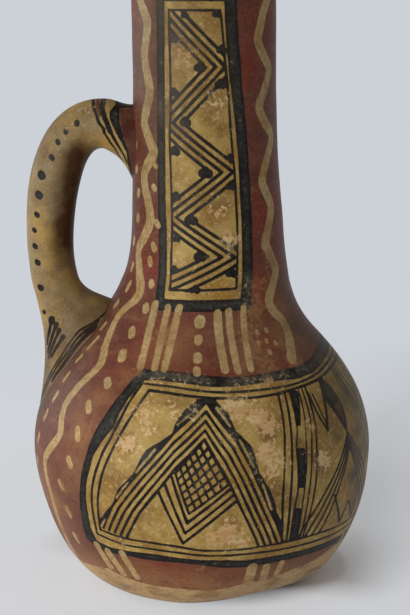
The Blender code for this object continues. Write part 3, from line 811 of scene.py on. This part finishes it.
# Wavy lines down both sides, and the dabs beside them
stroke("over", [
    (-64, 352), (-60, 347), (-50.6, 337), (-50, 333), (-51.7, 326), (-54.5, 315), (-50.6, 304.6),
    (-48.4, 296), (-53, 285.4), (-55.5, 280), (-54.7, 276), (-47.3, 266.7), (-44.2, 262.7), (-46, 259),
    (-51.7, 254), (-55.6, 248), (-54.4, 241), (-50.5, 234), (-48.2, 227), (-48.1, 222), (-51, 217),
    (-55.2, 212), (-61, 206), (-61.2, 200.7), (-55, 190.6), (-50.6, 185.5), (-48.7, 181), (-50.3, 177)
], 6.9, True)
stroke("over", [
    (-48.7, 181), (-50.3, 177), (-54.3, 173), (-58, 169), (-59.2, 165), (-58.6, 160.6), (-54.2, 151.5),
    (-49.4, 144.7), (-49.8, 140), (-54.5, 130), (-57.7, 120), (-57.3, 112), (-55.4, 104), (-56.8, 99),
    (-61.8, 90), (-64.4, 84), (-64.8, 79), (-64, 70), (-63.3, 61), (-63.8, 49), (-64, 38), (-65, 22)
], 5.8, True)
stroke("over", [
    (64, 352), (59.1, 347), (54.2, 342), (49, 331.5), (46.8, 326), (48.4, 322), (52.5, 317.4), (57.3, 313),
    (61.4, 309.5), (61.2, 306), (53.8, 296), (49.2, 291), (47.4, 287), (50.6, 282), (56.3, 277), (63, 272),
    (63.8, 268), (55.2, 256.7), (48.6, 246), (50.9, 240.6), (57.2, 231), (55.6, 225), (47.9, 210.5),
    (48.8, 206.6), (56, 196.5), (56.5, 191.6), (48.2, 181), (45, 176), (47.9, 170.4), (52.4, 165.3),
    (52.8, 160), (50.3, 155), (44.2, 146)
], 6.6, True)
for degrees, height, width, long in (
        (-42.3, 254.2, 3.2, 0.6), (-43.4, 241.7, 3.8, 1.0), (-40.1, 221.2, 3.8, 1.4), (-43, 207.7, 4.2, 2.0),
        (-45.8, 199.3, 4.0, 2.4), (-40.5, 187, 4.0, 1.6), (-38.7, 173.7, 4.4, 2.0), (-41.1, 160.4, 5.0, 2.4),
        (-39.5, 148.9, 5.4, 2.6), (-40.1, 135, 5.2, 1.8), (-44.6, 121.5, 4.6, 3.2), (-46, 106.2, 4.2, 4.6),
        (-48, 89.4, 4.4, 3.2), (-53.7, 73.3, 4.0, 3.0), (-52.6, 57, 3.6, 4.0), (-53, 39.9, 3.4, 4.0)
):
    dab("over", degrees, height, width, long, -0.6)
for degrees, height, width, long in (
        (-70, 264.3, 3.8, 1.6), (-69.2, 250.6, 4.2, 1.2), (-64.8, 237, 4.2, 1.8), (-65.4, 222.4, 4.2, 2.0),
        (-72.4, 208, 4.0, 2.6), (-68.1, 193.2, 3.4, 3.0), (-64, 182.5, 3.4, 4.0), (-69.7, 171.3, 4.4, 1.8),
        (-68.3, 158.9, 3.2, 2.6), (-65.6, 150.1, 3.3, 6.0), (-67, 141.4, 3.2, 3.0), (-67.6, 130.9, 3.4, 4.0),
        (-68.1, 119.2, 3.8, 4.0), (-70.5, 107.5, 3.8, 4.4), (-73, 93, 3.6, 3.6), (-75, 78, 3.4, 3.6),
        (-76, 61, 3.2, 3.4)
):
    dab("over", degrees, height, width, long, 0.4)

# Rim: the last coil, pinched out a little and rounded between wet fingers.
# It is slipped red outside, with a black lip above a wavy buff line, and bare inside the mouth.
LIP_STEPS = 14
MOUTH_ROW = 0.002
LIP_HEIGHT = STATIONS[-1][0]
lip_slope = STATIONS[-1][2]
lip_long = math.hypot(1.0, lip_slope)
lip_across = np.array([1.0, -lip_slope]) / lip_long
lip_along = np.array([lip_slope, 1.0]) / lip_long
lip_middle = wall_points([LIP_HEIGHT], WALL / 2.0)[0]
lip_round = []
for angle in np.linspace(math.pi, 0.0, LIP_STEPS):
    way_out = lip_across * math.cos(angle) + lip_along * math.sin(angle)
    lip_round.append(lip_middle + way_out * (WALL / 2.0))
rim_outer = wall_points(even_heights(LIP_HEIGHT, RIM_JOINT, NECK_ROW)[1:], 0.0)
rim_inner = wall_points(even_heights(RIM_JOINT + JOINT_SLANT, LIP_HEIGHT, MOUTH_ROW)[:-1], WALL)
rim_section = np.concatenate([lip_round, rim_outer, rim_inner])
rim_outside = np.concatenate([np.ones(len(lip_round) + len(rim_outer)), np.zeros(len(rim_inner))])
rim = raise_course("rim", rim_section, rim_outside, NECK_STEPS, painted_clay)
add_to_pot(rim, "rim")
stroke("black", [(-95, 384), (0, 384), (95, 384)], 8.0)
stroke("over", [(-95, 366), (-60, 362), (-30, 367), (0, 363), (30, 367), (60, 362), (95, 366)], 4.4, True)

# Handle: a roll of clay bent into a loop and pressed on to the neck and the shoulder.
# Both ends are bonded with collars of soft luting clay, smoothed out over the wall.
# The loop is brushed with buff slip, dotted down its back, and lined in black and red at its roots.
HANDLE_RADIUS = 0.0147
HANDLE_TAPER = 0.0016
HANDLE_SIDES = 128
HANDLE_STEP = 0.0009
HANDLE_TOP = np.array((-0.0408, 0.0, 0.2692))
HANDLE_TOP_ARM = np.array((-0.0402, 0.0, 0.0232))
HANDLE_BULGE = np.array((-0.0934, 0.0, 0.2093))
HANDLE_ARCH = 0.0362
HANDLE_FALL = 0.0239
HANDLE_FOOT = np.array((-0.0787, 0.0, 0.1587))
HANDLE_FOOT_ARM = np.array((-0.0093, 0.0, 0.0191))
CHORD_REACH = 0.0005
HANDLE_PALM = 0.0013
PALM_PLACE = 0.45
PALM_SPREAD = 0.16
UPPER_SPLIT = 0.019
LOWER_SPLIT = 0.024
NUB_DEPTH = 0.0016
NUB_SPREAD = 34.0
NUB_SWELL = 27.0 / 4.0
ROOT_SINK = 0.0006
ROOT_PULL = 1.1
ROOT_SETTLE = 1.25
CAP_RING = 0.4
# Ovals of the roots on the wall, and how far each runs out along the wall, on the whole and more at the back
UPPER_ROOT = {"middle": 0.2640, "tall": 0.0225, "wide": 0.0155, "spread": 0.36, "back": -0.31}
LOWER_ROOT = {"middle": 0.1335, "tall": 0.0455, "wide": 0.0215, "spread": 0.55, "back": 0.45}


def bezier(start, leave, arrive, end, count=200):
    """A smooth bend from start to end, towards one point and in from the other."""
    t = np.linspace(0.0, 1.0, count)[:, None]
    return (1 - t) ** 3 * start + 3 * t * (1 - t) ** 2 * leave + 3 * t * t * (1 - t) * arrive + t ** 3 * end


up = np.array((0.0, 0.0, 1.0))
arch = HANDLE_BULGE + HANDLE_ARCH * up
fall = HANDLE_BULGE - HANDLE_FALL * up
upper_half = bezier(HANDLE_TOP, HANDLE_TOP + HANDLE_TOP_ARM, arch, HANDLE_BULGE)
lower_half = bezier(HANDLE_BULGE, fall, HANDLE_FOOT + HANDLE_FOOT_ARM, HANDLE_FOOT)
handle_line = np.concatenate([upper_half, lower_half[1:]])
handle_walked = np.concatenate([[0.0], np.cumsum(np.linalg.norm(np.diff(handle_line, axis=0), axis=1))])
handle_long = handle_walked[-1]
turns = np.radians(np.arange(HANDLE_SIDES) * 360.0 / HANDLE_SIDES)


def handle_spot(distance):
    """The point at a distance along the middle of the handle."""
    return np.array([np.interp(distance, handle_walked, handle_line[:, axis]) for axis in range(3)])


def roll_ring(distance):
    """A ring of points round the roll, from the back of the loop by the front to its inside."""
    chord = handle_spot(distance + CHORD_REACH) - handle_spot(distance - CHORD_REACH)
    along = chord / np.linalg.norm(chord)
    back = np.array((along[2], 0.0, -along[0]))
    back = back if back[0] < 0.0 or back[2] > 0.9 else -back
    radius = HANDLE_RADIUS - HANDLE_TAPER * distance / handle_long
    out = np.cos(turns)[:, None] * back - np.sin(turns)[:, None] * np.array((0, 1.0, 0))
    ring = handle_spot(distance) + radius * out
    palm = HANDLE_PALM * math.exp(-((distance / handle_long - PALM_PLACE) / PALM_SPREAD) ** 2)
    ring = ring - palm * (0.5 - 0.5 * np.cos(turns))[:, None] * back
    return ring, along


def wall_ring(root, sign):
    """A root's oval just under the wall's surface: its points, and the ways in and out along the wall."""
    tall = np.cos(turns) * root["tall"] * sign
    heights = root["middle"] + tall / math.hypot(1.0, wall_slope(root["middle"]))
    slopes = wall_slope(heights)
    long = np.sqrt(1.0 + slopes * slopes)
    angle = np.sin(turns) * root["wide"] / outer_radius(heights)
    radius, sunk = wall_points(heights, ROOT_SINK).T
    points = np.stack([-radius * np.cos(angle), -radius * np.sin(angle), sunk], axis=1)
    inward = np.stack([np.cos(angle) / long, np.sin(angle) / long, slopes / long], axis=1)
    away = points - points.mean(axis=0)
    away -= (away * inward).sum(1)[:, None] * inward
    away /= np.linalg.norm(away, axis=1)[:, None]
    return points, inward, away


def collar(ring, along, root, sign):
    """Rings from the roll out to the wall: each side line leaves along the roll and runs out on the wall."""
    wall, inward, away = wall_ring(root, sign)
    reach = np.linalg.norm(wall - ring, axis=1)[:, None]
    spread = (root["spread"] + root["back"] * np.cos(turns))[:, None]
    landing = away * spread + inward * (1.0 - spread)
    landing /= np.linalg.norm(landing, axis=1)[:, None]
    count = int(reach.max() / HANDLE_STEP)
    rings = []
    for t in np.linspace(0.0, 1.0, count + 1):
        swell = t * t * (3.0 - 2.0 * t)
        pull = t * (1 - t) ** 2 * along * reach * ROOT_PULL
        settle = t * t * (t - 1) * landing * reach * ROOT_SETTLE
        rings.append(ring + swell * (wall - ring) + pull + settle)
    return rings


def loft(name, rings, chart, finish):
    """A closed piece from rings of points, capped by a shrinking ring and a middle at each end."""
    ends = (rings[0], rings[-1])
    middles = [end.mean(0) for end in ends]
    caps = [end * CAP_RING + middle * (1.0 - CAP_RING) for end, middle in zip(ends, middles)]
    rows = [caps[0]] + list(rings) + [caps[1]]
    chart = [chart[0]] + list(chart) + [chart[-1]]
    points = np.concatenate(rows + [middle[None] for middle in middles])
    sides = HANDLE_SIDES
    faces = []
    for row in range(len(rows) - 1):
        for side in range(sides):
            after = (side + 1) % sides
            low = row * sides
            faces.append((low + side, low + after, low + sides + after, low + sides + side))
    head = len(rows) * sides
    foot = (len(rows) - 1) * sides
    for side in range(sides):
        after = (side + 1) % sides
        faces.append((head, after, side))
        faces.append((head + 1, foot + side, foot + after))
    mesh = bpy.data.meshes.new(name + "_draft")
    mesh.from_pydata(points.tolist(), [], faces)
    places = [place for place in chart for side in range(sides)] + [chart[0], chart[-1]]
    degrees = list(np.degrees(turns)) * len(rows) + [0.0, 0.0]
    for label, values in (("along", places), ("round", degrees)):
        mesh.attributes.new(label, "FLOAT", "POINT").data.foreach_set("value", np.asarray(values, float))
    return run_tree(name, mesh, hand_shaping, {"Finish": finish})


HANDLE_BUFF = srgb(142, 122, 88)
HANDLE_BUFF_DEEP = srgb(128, 104, 68)
HANDLE_BUFF_BROWN = srgb(176, 140, 70)
HANDLE_BUFF_PALE = srgb(166, 146, 108)
# Brown of the stain on the handle, also used for its painted shade
HANDLE_STAIN_AND_SHADE = srgb(70, 44, 22)
buff_clay = slip_coat("buff_clay", HANDLE_BUFF, HANDLE_BUFF_DEEP, HANDLE_BUFF_BROWN, HANDLE_BUFF_PALE,
                      HANDLE_STAIN_AND_SHADE)
roll_long = handle_long - UPPER_SPLIT - LOWER_SPLIT
roll_distances = np.linspace(UPPER_SPLIT, handle_long - LOWER_SPLIT, int(roll_long / HANDLE_STEP))
roll_rings = [roll_ring(distance) for distance in roll_distances]
roll_places = 1.0 + (roll_distances - UPPER_SPLIT) / roll_long
handle = loft("handle", [ring for ring, along in roll_rings], roll_places, buff_clay)
top_ring, top_along = roll_rings[0]
upper_rings = collar(top_ring, -top_along, UPPER_ROOT, 1.0)[::-1]
# The nub of clay swells to its full depth two thirds of the way along the upper collar
nub_side = np.exp(-((np.degrees(turns) - 180.0) / NUB_SPREAD) ** 2)[:, None] * up
for place, ring in zip(np.linspace(0.0, 1.0, len(upper_rings)), upper_rings):
    ring -= NUB_DEPTH * NUB_SWELL * place * place * (1.0 - place) * nub_side
upper_luting = loft("handle_upper_luting", upper_rings, np.linspace(0.0, 1.0, len(upper_rings)), buff_clay)
foot_ring, foot_along = roll_rings[-1]
lower_rings = collar(foot_ring, foot_along, LOWER_ROOT, -1.0)
lower_luting = loft("handle_lower_luting", lower_rings, np.linspace(2.0, 3.0, len(lower_rings)), buff_clay)
handle_pieces = [handle, upper_luting, lower_luting]
for piece, node in zip(handle_pieces, ("handle", "handle_upper_luting", "handle_lower_luting")):
    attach(piece, "root")
    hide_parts(node)

handle_rings = [np.array(upper_rings), np.array([ring for ring, along in roll_rings]), np.array(lower_rings)]
handle_paint = {layer: [] for layer in paint}


def on_handle(points):
    """Points from (place: 0 at the neck, 1 and 2 at the roll's ends, 3 at the shoulder; degrees round)."""
    spots = []
    for place, degrees in np.asarray(points, float):
        rings = handle_rings[int(np.clip(place, 0, 2))]
        row = np.clip(place - int(np.clip(place, 0, 2)), 0.0, 1.0) * (len(rings) - 1)
        side = degrees / 360.0 * HANDLE_SIDES
        low_row = min(int(row), len(rings) - 2)
        low_side = int(math.floor(side))
        pair = rings[low_row:low_row + 2]
        near, far = pair[:, low_side % HANDLE_SIDES], pair[:, (low_side + 1) % HANDLE_SIDES]
        edge = near + (far - near) * (side - low_side)
        spots.append(edge[0] + (edge[1] - edge[0]) * (row - low_row))
    return np.array(spots)


def handle_stroke(layer, points, width):
    """A brush stroke on the handle or its collars, rounded where it bends."""
    stroke(layer, points, width, len(points) > 2, on_handle, handle_paint)


# Dots down the back, the fan of strokes below them, and the lines and bands round both roots
for place, degrees, width in (
        (1.12, 69, 3.6), (1.18, 68, 3.0), (1.24, 68, 3.2), (1.32, 71, 3.4), (1.42, 59, 5.0), (1.52, 61, 4.8),
        (1.62, 59, 3.2), (1.70, 52, 3.0), (1.78, 53, 3.4), (1.86, 57, 3.6), (1.985, 53, 4.0), (2.18, 43, 3.2)
):
    handle_stroke("black", [(place - 0.002, degrees - 2), (place + 0.002, degrees + 2)], width)
fan = (
    [(2.32, 73), (2.39, 59), (2.43, 48), (2.47, 41)], [(2.45, 92), (2.51, 77), (2.54, 58), (2.57, 50)],
    [(2.56, 99), (2.61, 88), (2.64, 70), (2.66, 60)], [(2.69, 103), (2.71, 93), (2.72, 80), (2.72, 74)]
)
for tail, width in zip(fan, (4.4, 3.6, 3.2, 3.4)):
    head = np.array(tail[0])
    handle_stroke("black", [head, head + (np.array(tail[1]) - head) * 0.18], width)
    handle_stroke("black", tail, 2.2)
handle_stroke("black", [
    (3.0, 166), (2.99, 149), (2.95, 141), (2.92, 135), (2.84, 124), (2.81, 118), (2.82, 110), (2.84, 101),
    (2.86, 92), (2.86, 81), (2.86, 67), (2.86, 40), (2.86, -10)
], 1.4)
handle_stroke("black", [
    (2.95, 134), (2.88, 121), (2.87, 112), (2.89, 103), (2.90, 94), (2.90, 84), (2.90, 69), (2.90, 40),
    (2.90, -10)
], 1.7)
handle_stroke("black", [
    (2.97, 128), (2.94, 121), (2.93, 112), (2.94, 103), (2.95, 94), (2.95, 84), (2.95, 72)
], 2.6)
patch("red", [
    (0.50, 62), (0.48, 31), (-0.1, 16), (-0.1, 152), (0.08, 150), (0.12, 140), (0.18, 121), (0.23, 104),
    (0.33, 91), (0.42, 79)
], on_handle, handle_paint)
patch("black", [
    (0.84, 52), (0.84, 69), (0.75, 81), (0.62, 93), (0.45, 102), (0.29, 113), (0.25, 138), (0.14, 168),
    (0.02, 168), (0.10, 140), (0.16, 121), (0.21, 104), (0.32, 91), (0.41, 79), (0.50, 62), (0.48, 31),
    (0.2, 22), (-0.1, 18), (-0.1, -12), (0.70, -12), (0.63, 25)
], on_handle, handle_paint)
handle_stroke("red", [(1.027, -10), (1.025, 34), (1.024, 49), (1.016, 65)], 2.0)
handle_stroke("black", [(1.045, -10), (1.04, 24), (1.04, 44), (1.03, 67), (1.018, 86), (0.97, 106)], 2.0)
handle_stroke("black", [(0.97, 106), (0.83, 126), (0.69, 139), (0.57, 153), (0.43, 159)], 1.4)
handle_stroke("black", [(1.008, -10), (1.008, 29), (1.008, 49), (0.99, 68), (0.91, 83), (0.81, 99)], 3.0)
handle_stroke("black", [(0.81, 99), (0.66, 113), (0.50, 123), (0.37, 129), (0.28, 142)], 1.8)

# Brushwork: where each slip lies on each piece, as the distance inside its edge in millimetres,
# and how worn, warm, bright or sooty the slip is there, with painted shade added where the pot meets the
# floor and the handle.
# The far side of the pot repeats the near side, drawn by the same hand with a little wander.
MARGIN = 0.004
RUN_STEPS = 8
# Width of the painted shade on the wall round the handle's lower root
ROOT_SHADE = 0.0042
WANDER_UP = 1.6
WANDER_WAVES = 5.0
WANDER_ROUND = 1.5
WANDER_RISE = 17.0


def gap_to_line(points, line, reach):
    """Places of the points near a line, and their distances from it, a short run at a time."""
    for first in range(0, len(line) - 1, RUN_STEPS):
        run = line[first:first + RUN_STEPS + 1]
        close = (points > run.min(axis=0) - reach) & (points < run.max(axis=0) + reach)
        near = np.flatnonzero(close.all(axis=1))
        if near.size:
            start = run[:-1]
            way = np.diff(run, axis=0)
            from_start = points[near][:, None, :] - start
            along = np.clip((from_start * way).sum(2) / np.maximum((way * way).sum(1), 1e-12), 0.0, 1.0)
            yield near, np.linalg.norm(from_start - along[..., None] * way, axis=2).min(axis=1)


def within(chart, corners):
    """Which points of an unrolled surface lie inside a shape."""
    inside = np.zeros(len(chart), bool)
    x, y = chart.T
    for (ax, ay), (bx, by) in zip(corners, np.roll(corners, -1, axis=0)):
        if ay != by:
            crosses = (ay > y) != (by > y)
            inside ^= crosses & (x < (bx - ax) * (y - ay) / (by - ay) + ax)
    return inside


def coverage(spots, chart, marks):
    """How far each spot lies inside the marks of one layer, in millimetres."""
    drawn = np.full(len(spots), -MARGIN)
    for line, half, corners in marks:
        if corners is None:
            for near, gap in gap_to_line(spots, line, half + MARGIN):
                drawn[near] = np.maximum(drawn[near], half - gap)
        else:
            edge = np.full(len(spots), MARGIN)
            for near, gap in gap_to_line(spots, line, MARGIN):
                edge[near] = np.minimum(edge[near], gap)
            drawn = np.maximum(drawn, np.where(within(chart, corners), edge, -edge))
    return drawn * 1000.0


def read(mesh, label, kind, size):
    """What a mesh carries at each point under a name."""
    values = np.empty(len(mesh.vertices) * size)
    mesh.attributes[label].data.foreach_get(kind, values)
    return values.reshape(-1, size) if size > 1 else values


def write(mesh, label, values):
    """Gives a mesh a number at each point under a name, for its finish."""
    mesh.attributes.new(label, "FLOAT", "POINT").data.foreach_set("value", values.astype(np.float32))


def rise(low, high, values):
    """A smooth step from 0 at low to 1 at high."""
    t = np.clip((values - low) / (high - low), 0.0, 1.0)
    return t * t * (3.0 - 2.0 * t)


root_line = np.concatenate([lower_rings[-1], lower_rings[-1][:1]])
for piece in pot_pieces:
    mesh = piece.data
    place = read(mesh, "true_place", "vector", 3)
    outside = read(mesh, "outside", "value", 1) > 0.5
    degrees = np.degrees(np.arctan2(place[:, 0], -place[:, 1]))
    far = place[:, 1] > 0.0
    near_degrees = np.where(far, np.where(degrees > 0, 180.0 - degrees, -180.0 - degrees), degrees)
    wander = np.where(far, np.cos(np.radians(near_degrees)), 0.0)
    height = place[:, 2] * 1000.0
    height_drawn = height + wander * WANDER_UP * np.sin(np.radians(near_degrees * WANDER_WAVES) + 1.0)
    near_degrees = near_degrees + wander * WANDER_ROUND * np.sin(height / WANDER_RISE)
    chart = np.stack([near_degrees, height_drawn], axis=1)[outside]
    spots = on_wall(chart)
    for layer, marks in paint.items():
        values = np.full(len(place), -MARGIN * 1000.0)
        values[outside] = coverage(spots, chart, marks)
        write(mesh, layer, values)
    for tone, patches in tones.items():
        values = np.zeros(len(place))
        for turn, up_wall, radius, strength in patches:
            gap = np.linalg.norm(spots - on_wall([(turn, up_wall)])[0], axis=1) * 1000.0
            values[outside] = np.maximum(values[outside], strength * np.exp(-(gap / radius) ** 2))
        if tone == "warm":
            values[outside] = np.maximum(values[outside], rise(44.0, 20.0, chart[:, 1]))
        if tone == "stain_and_shade":
            # Painted shade: darker along the bottom edge of the foot, where it meets the floor
            values[outside] = np.maximum(values[outside], 0.6 * rise(3.2, 0.6, chart[:, 1]))
            # Painted shade in a soft band on the wall round the handle's lower root, where it joins the wall
            shade = np.zeros(len(spots))
            for near, gap in gap_to_line(spots, root_line, 3.0 * ROOT_SHADE):
                shade[near] = np.maximum(shade[near], 0.9 * np.exp(-(gap / ROOT_SHADE) ** 2))
            values[outside] = np.maximum(values[outside], shade)
        write(mesh, tone, values)
    write(mesh, "bare", np.where(outside, 0.0, 1.0))
    for helper in ("true_place", "outside"):
        mesh.attributes.remove(mesh.attributes[helper])

for piece in handle_pieces:
    mesh = piece.data
    place = read(mesh, "true_place", "vector", 3)
    along = read(mesh, "along", "value", 1)
    degrees = read(mesh, "round", "value", 1)
    degrees = np.minimum(degrees, 360.0 - degrees)
    spots = np.stack([place[:, 0], -np.abs(place[:, 1]), place[:, 2]], axis=1)
    chart = np.stack([along, degrees], axis=1)
    for layer, marks in handle_paint.items():
        if layer == "ground":
            write(mesh, layer, np.full(len(place), MARGIN * 1000.0))
        else:
            write(mesh, layer, coverage(spots, chart, marks))
    # The handle's darkening: a brown stain with painted shade inside the loop, painted shade under its lower
    # bend and at both roots, and darker on the back of its upper bend and towards its lower root
    inner_side = rise(76.0, 118.0, degrees) * rise(1.06, 1.24, along) * rise(2.02, 1.75, along)
    root_shade = np.maximum(0.25 * rise(2.90, 2.98, along), 0.45 * rise(0.35, 0.05, along))
    under = 0.22 * rise(80.0, 140.0, degrees) * rise(1.8, 2.1, along) * rise(2.7, 2.4, along)
    outer = 0.36 * rise(80.0, 40.0, degrees) * rise(1.14, 1.24, along) * rise(1.5, 1.35, along)
    foot = 0.22 * rise(2.2, 2.5, along) + 0.36 * rise(2.45, 2.8, along)
    write(mesh, "stain_and_shade", np.maximum.reduce([1.1 * inner_side, under, root_shade, outer, foot]))
    top_warmth = 0.8 * rise(1.08, 0.95, along)
    bend_warmth = 0.6 * rise(1.88, 2.0, along) * rise(2.3, 2.15, along) * rise(60.0, 35.0, degrees)
    write(mesh, "warm", np.maximum(top_warmth, bend_warmth))
    write(mesh, "worn", 0.26 * rise(0.9, 1.05, along) * rise(1.32, 1.15, along))
    for label in ("ember", "bare"):
        write(mesh, label, np.zeros(len(place)))
    for helper in ("true_place", "along", "round"):
        mesh.attributes.remove(mesh.attributes[helper])

# Stage: a seamless sheet of pale paper under even light, with a broad soft lamp at the front left
# and a weaker one behind it. The paper partly glows, paler near the pot and in the backdrop's colour away
# from it, less so in a painted shadow strip behind the pot to the right and a painted contact shadow round
# its foot.
FLOOR_SIZE = 12.0
BACKDROP = srgb(204, 209, 215)
FLOOR_GLOW = srgb(224, 226, 230)
PAPER = (0.88, 0.91, 0.95, 1.0)
# Way and half width of the painted shadow strip behind the pot
SHADOW_X = 0.4
SHADOW_Y = 0.92
SHADOW_HALF_WIDTH = 0.125
CONTACT_SHADOW_PLACE = (0.02, 0.01, 0.0)
CONTACT_SHADOW_REACH = 0.072
SKY_LIGHT = (1.0, 0.99, 0.97, 1.0)
SKY_STRENGTH = 0.36
LAMP_TARGET = (0.0, 0.0, 0.12)
CAMERA_PLACE = (0.00093, -1.0, 0.3777)
CAMERA_TILT = 78.0
CAMERA_LENS = 99.92
CAMERA_SENSOR = 36.0
floor_mesh = bpy.data.meshes.new("studio_floor")
floor_mesh.from_pydata([(-FLOOR_SIZE, -FLOOR_SIZE, 0.0), (FLOOR_SIZE, -FLOOR_SIZE, 0.0),
                        (FLOOR_SIZE, FLOOR_SIZE, 0.0), (-FLOOR_SIZE, FLOOR_SIZE, 0.0)], [], [(0, 1, 2, 3)])
studio_floor = bpy.data.objects.new("studio_floor", floor_mesh)
bpy.context.scene.collection.objects.link(studio_floor)
paper = bpy.data.materials.new("studio_paper")
paper.use_nodes = True
paper_tree = paper.node_tree
paper_shader = paper_tree.nodes["Principled BSDF"]
paper_shader.inputs["Base Color"].default_value = PAPER
paper_shader.inputs["Roughness"].default_value = 1.0
paper_shader.inputs["Specular IOR Level"].default_value = 0.0
spot = Lead(paper_tree, paper_tree.nodes.new("ShaderNodeTexCoord").outputs["Object"])
away = spot.node("ShaderNodeVectorMath", {"operation": "LENGTH"}, {0: spot}, "Value")
seen = spot.node("ShaderNodeLightPath", None, None, "Is Camera Ray")
glossy = spot.node("ShaderNodeLightPath", None, None, "Is Glossy Ray")
aside = spot.node("ShaderNodeSeparateXYZ", None, {0: spot}, "X")
behind = spot.node("ShaderNodeSeparateXYZ", None, {0: spot}, "Y")
# Painted shadow: a strip behind the pot to the right, widening with distance like a penumbra, where the
# paper glows less
down_light = aside * SHADOW_X + behind * SHADOW_Y
across = spot.math("ABSOLUTE", behind * SHADOW_X - aside * SHADOW_Y)
penumbra = down_light.clamped() * 0.25 + 0.03
painted_shadow = ((SHADOW_HALF_WIDTH - across) / penumbra).clamped() * (down_light * 30.0 + 0.5).clamped()
painted_shadow = painted_shadow * (0.36 + (0.13 - away).clamped() * 3.0)
# Painted contact shadow round the foot
contact_shadow_inputs = {0: spot, 1: CONTACT_SHADOW_PLACE}
foot_gap = spot.node("ShaderNodeVectorMath", {"operation": "DISTANCE"}, contact_shadow_inputs, "Value")
painted_shadow = painted_shadow + ((CONTACT_SHADOW_REACH - foot_gap) * 40.0).clamped() * 0.5
fade = (0.6 + (away - 0.2).clamped() * 1.05 - painted_shadow).clamped() * (seen + glossy).clamped()
far = (away * 2.2 - 0.3).clamped()
glow_colour = spot.node("ShaderNodeMix", {"data_type": "RGBA"}, {0: far, 6: FLOOR_GLOW, 7: BACKDROP}, 2)
glow = spot.node("ShaderNodeEmission", None, {"Color": glow_colour, "Strength": 1.0})
lit_paper = Lead(paper_tree, paper_shader.outputs[0])
mixed = spot.node("ShaderNodeMixShader", None, {0: fade, 1: lit_paper, 2: glow})
paper_tree.links.new(mixed.socket, paper_tree.nodes["Material Output"].inputs["Surface"])
floor_mesh.materials.append(paper)

world = bpy.data.worlds.new("studio")
world.use_nodes = True
bpy.context.scene.world = world
sky = world.node_tree.nodes["Background"]
sky_lead = Lead(world.node_tree, sky.outputs[0])
sky_seen = sky_lead.node("ShaderNodeLightPath", None, None, "Is Camera Ray")
open_sky = sky_lead.node("ShaderNodeBackground", None, {"Color": BACKDROP, "Strength": 1.0})
sky.inputs["Color"].default_value = SKY_LIGHT
sky.inputs["Strength"].default_value = SKY_STRENGTH
both = sky_lead.node("ShaderNodeMixShader", None, {0: sky_seen, 1: sky_lead, 2: open_sky})
world.node_tree.links.new(both.socket, world.node_tree.nodes["World Output"].inputs["Surface"])


def soft_lamp(name, place, size, power, colour):
    """A round lamp with a soft edge, turned towards the belly."""
    lamp = bpy.data.lights.new(name, "AREA")
    lamp.shape = "DISK"
    lamp.size = size
    lamp.energy = power
    lamp.color = colour
    holder = bpy.data.objects.new(name, lamp)
    holder.location = place
    way = np.array(LAMP_TARGET) - np.array(place)
    flat = math.hypot(way[0], way[1])
    holder.rotation_euler = (math.atan2(flat, -way[2]), 0.0, math.atan2(-way[0], way[1]))
    bpy.context.scene.collection.objects.link(holder)


soft_lamp("window_lamp", (-1.15, -1.1, 0.45), 1.0, 15.0, (1.0, 0.99, 0.96))
soft_lamp("edge_lamp", (-1.3, 0.5, 0.35), 0.8, 5.0, (1.0, 0.99, 0.97))

camera = bpy.data.cameras.new("photo_camera")
camera.sensor_width = CAMERA_SENSOR
camera.lens = CAMERA_LENS
photo_camera = bpy.data.objects.new("photo_camera", camera)
photo_camera.location = CAMERA_PLACE
photo_camera.rotation_euler = (math.radians(CAMERA_TILT), 0.0, 0.0)
bpy.context.scene.collection.objects.link(photo_camera)
bpy.context.scene.camera = photo_camera
bpy.context.scene.view_settings.view_transform = "Standard"
